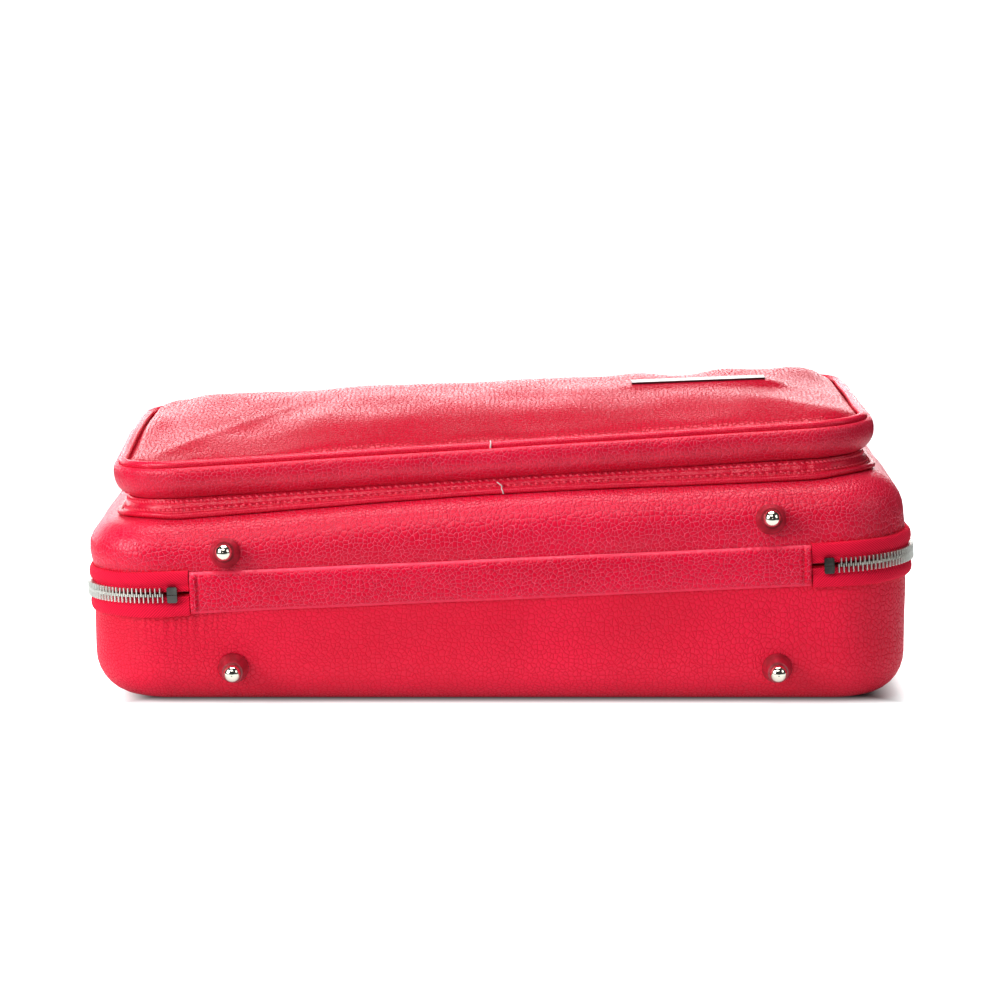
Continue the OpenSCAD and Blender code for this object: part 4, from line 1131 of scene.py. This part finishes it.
pad_in = LID_EDGE + 1
cushion = mound("lid_cushion", HALF_X - pad_in, HALF_Y - pad_in, CORNER - pad_in, cushion_height,
                0.05, under_lid, step=3.0)
dress(cushion, wine_plush, "lid", "cloth", "lid_pad")
print("inlay faces:", len(inlay.data.polygons), "cushion faces:", len(cushion.data.polygons))

# %% [markdown]
# The pocket opens on the handle side, where its zip is sewn into the wall.
# Its tape is the same twill, cut as a flat band with a slot for the teeth.

# %% Pocket zip tape
low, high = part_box("pocket_zip_tape")
print("pocket tape stands at y", round(low.y * 1000, 1), "to", round(high.y * 1000, 1), "mm")
POCKET_ZIP_HALF, SLOT_HALF, WALL_BACK_Y = 95.0, 0.9, HALF_Y - 8.6
zip_mid = (FOOT_TOP_Z + WALL_TOP_Z) / 2 + 0.6
for name, z_out, z_in, replaced in (
        ("pocket_tape_below", FOOT_TOP_Z + 0.7, zip_mid - SLOT_HALF, ["pocket_zip_tape"]),
        ("pocket_tape_above", WALL_TOP_Z - 0.7, zip_mid + SLOT_HALF, [])):
    xs, zs = np.arange(-POCKET_ZIP_HALF, POCKET_ZIP_HALF + 0.1, 2.0), np.linspace(z_out, z_in, 7)
    x, z = np.meshgrid(xs, zs, indexing="ij")
    tuck = 0.35 * near(z, z_out, 0.8) + 0.08 * unevenness(stacked(x, z, 0), 14)
    face, back = stacked(x, WALL_BACK_Y - 0.45 - tuck, z), stacked(x, WALL_BACK_Y - 1.5, z)
    grid = in_lid(np.concatenate([face, back[:, ::-1]], 1))
    across = np.r_[abs(zs - zs[0]), abs(zs - zs[0]) + 20]
    tape = join_rows(name, grid, False, True, xs, across, sharp=60)
    dress(tape, tape_cloth, "lid", "tape", *replaced)

# %% [markdown]
# The photograph is taken with a long lens from a little above. The camera's
# place, tilt and lens come from matching a dozen points of the case, such as
# the studs and the strip's corners, to where they are in the picture.

# %% Camera
LOOKS_DOWN = 8.927
camera = bpy.data.objects.new("camera", bpy.data.cameras.new("camera"))
bpy.context.scene.collection.objects.link(camera)
bpy.context.scene.camera = camera
camera.data.sensor_width, camera.data.lens = 36.0, 125.3
camera.data.clip_start, camera.data.clip_end = 0.05, 60
camera.location = (0.0001, -1.3, 0.2654)
camera.rotation_euler = (radians(90 - LOOKS_DOWN), 0, radians(0.013))
print("camera looks down by", round(LOOKS_DOWN, 1), "degrees")

# %% [markdown]
# The light is a white studio. A low white wall behind the case is what the
# pocket's top mirrors at a low angle. One soft box hangs over the case and a
# smaller one over the camera, the strongest stands at the front left and a
# weak one at the right. The rest of the room is dim, which matters as much:
# it keeps the front of the leather a deep red and gives the steel balls a
# dark band. The floor is no lamp, but it glows, and that is painted light. To
# the camera it glows white, except under the case's edge, where the glow fades
# out a little further to the right: the thin shadow there is a painted shadow.
# A weaker glow round the case is a painted fill light on the leather's
# underside. Exposure and gamma are set for the contrast of the photograph.

# %% Floor and light
FLOOR_HALF, FLOOR_Z = 15000.0, -0.6
floor_corners = [(side_x * FLOOR_HALF, side_y * FLOOR_HALF, FLOOR_Z)
                 for side_x, side_y in ((-1, -1), (1, -1), (1, 1), (-1, 1))]
table = Finish("light_table", Roughness=0.9, Specular_IOR_Level=0.05, Emission_Strength=1.0)
spot = table.place()
# The painted shadow's outline is the case's box shifted 5 mm to the right, so it reaches further
# out there.
past_side = (table.part(spot, "X") - 0.005).math("ABSOLUTE") - HALF_X / 1000
away = past_side.math("MAXIMUM", table.part(spot, "Y").math("ABSOLUTE") - HALF_Y / 1000)
lit = 1 - away.between(0.17, 0.30)
# Painted fill light: a glow round the case lights the leather's underside.
painted_fill_glow = away.between(-0.022, 0.012) * lit * 0.52
# Painted shadow: the glow the camera sees fades in from 20 mm inside the case's outline to 5 mm
# beyond it, leaving a thin dark line.
camera_glow_shadow_gap = table.node("ShaderNodeLightPath") * away.between(-0.020, 0.005)
glow = camera_glow_shadow_gap.math("MAXIMUM", painted_fill_glow)
# The floor's own colour is grey-blue near the case, which is what shows in the painted shadow, and
# nearly black further out.
table.paint(Base_Color=table.mix(lit, (0.05, 0.05, 0.05), (0.42, 0.48, 0.48)),
            Emission_Color=table.mix(glow, (0.0, 0.0, 0.0), (1.0, 1.0, 1.0)))
floor = lay_mesh("floor", floor_corners, [(0, 1, 2, 3)])
floor.data.materials.append(table.material)

# Soft boxes: place, aim, width and height in metres, and brightness
SOFT_BOXES = {
    "white_wall": ((-0.4, 1.5, 0.34), (0, 0, 0.2), 2.6, 0.64, 2.8),
    "overhead_box": ((-0.05, 0.1, 1.1), (-0.02, 0.0, 0.05), 0.9, 0.7, 4.9),
    "front_top_box": ((-0.15, -1.0, 1.15), (0, 0, 0.05), 0.8, 0.4, 3.6),
    "front_left_box": ((-1.15, -0.75, 0.65), (0, 0, 0.04), 0.85, 0.9, 5.8),
    "right_box": ((1.25, -0.6, 0.75), (0, 0, 0.04), 0.7, 0.7, 1.6),
}
for name, (place, aim, width, height, radiance) in SOFT_BOXES.items():
    lamp = bpy.data.lights.new(name, "AREA")
    lamp.shape, lamp.size, lamp.size_y = "RECTANGLE", width, height
    lamp.energy = radiance * pi * width * height
    box = bpy.data.objects.new(name, lamp)
    box.location, box.visible_camera = place, False
    box.rotation_euler = (Vector(aim) - Vector(place)).to_track_quat("-Z", "Y").to_euler()
    bpy.context.scene.collection.objects.link(box)

sky = Finish("studio_room", bpy.data.worlds, "Background")
seen_sky = sky.node("ShaderNodeLightPath")
sky.paint(Color=(0.98, 0.99, 1.0), Strength=seen_sky * 0.94 + 0.06)
bpy.context.scene.world = sky.material
view = bpy.context.scene.view_settings
view.view_transform, view.exposure, view.gamma = "Standard", 0.3, 0.8
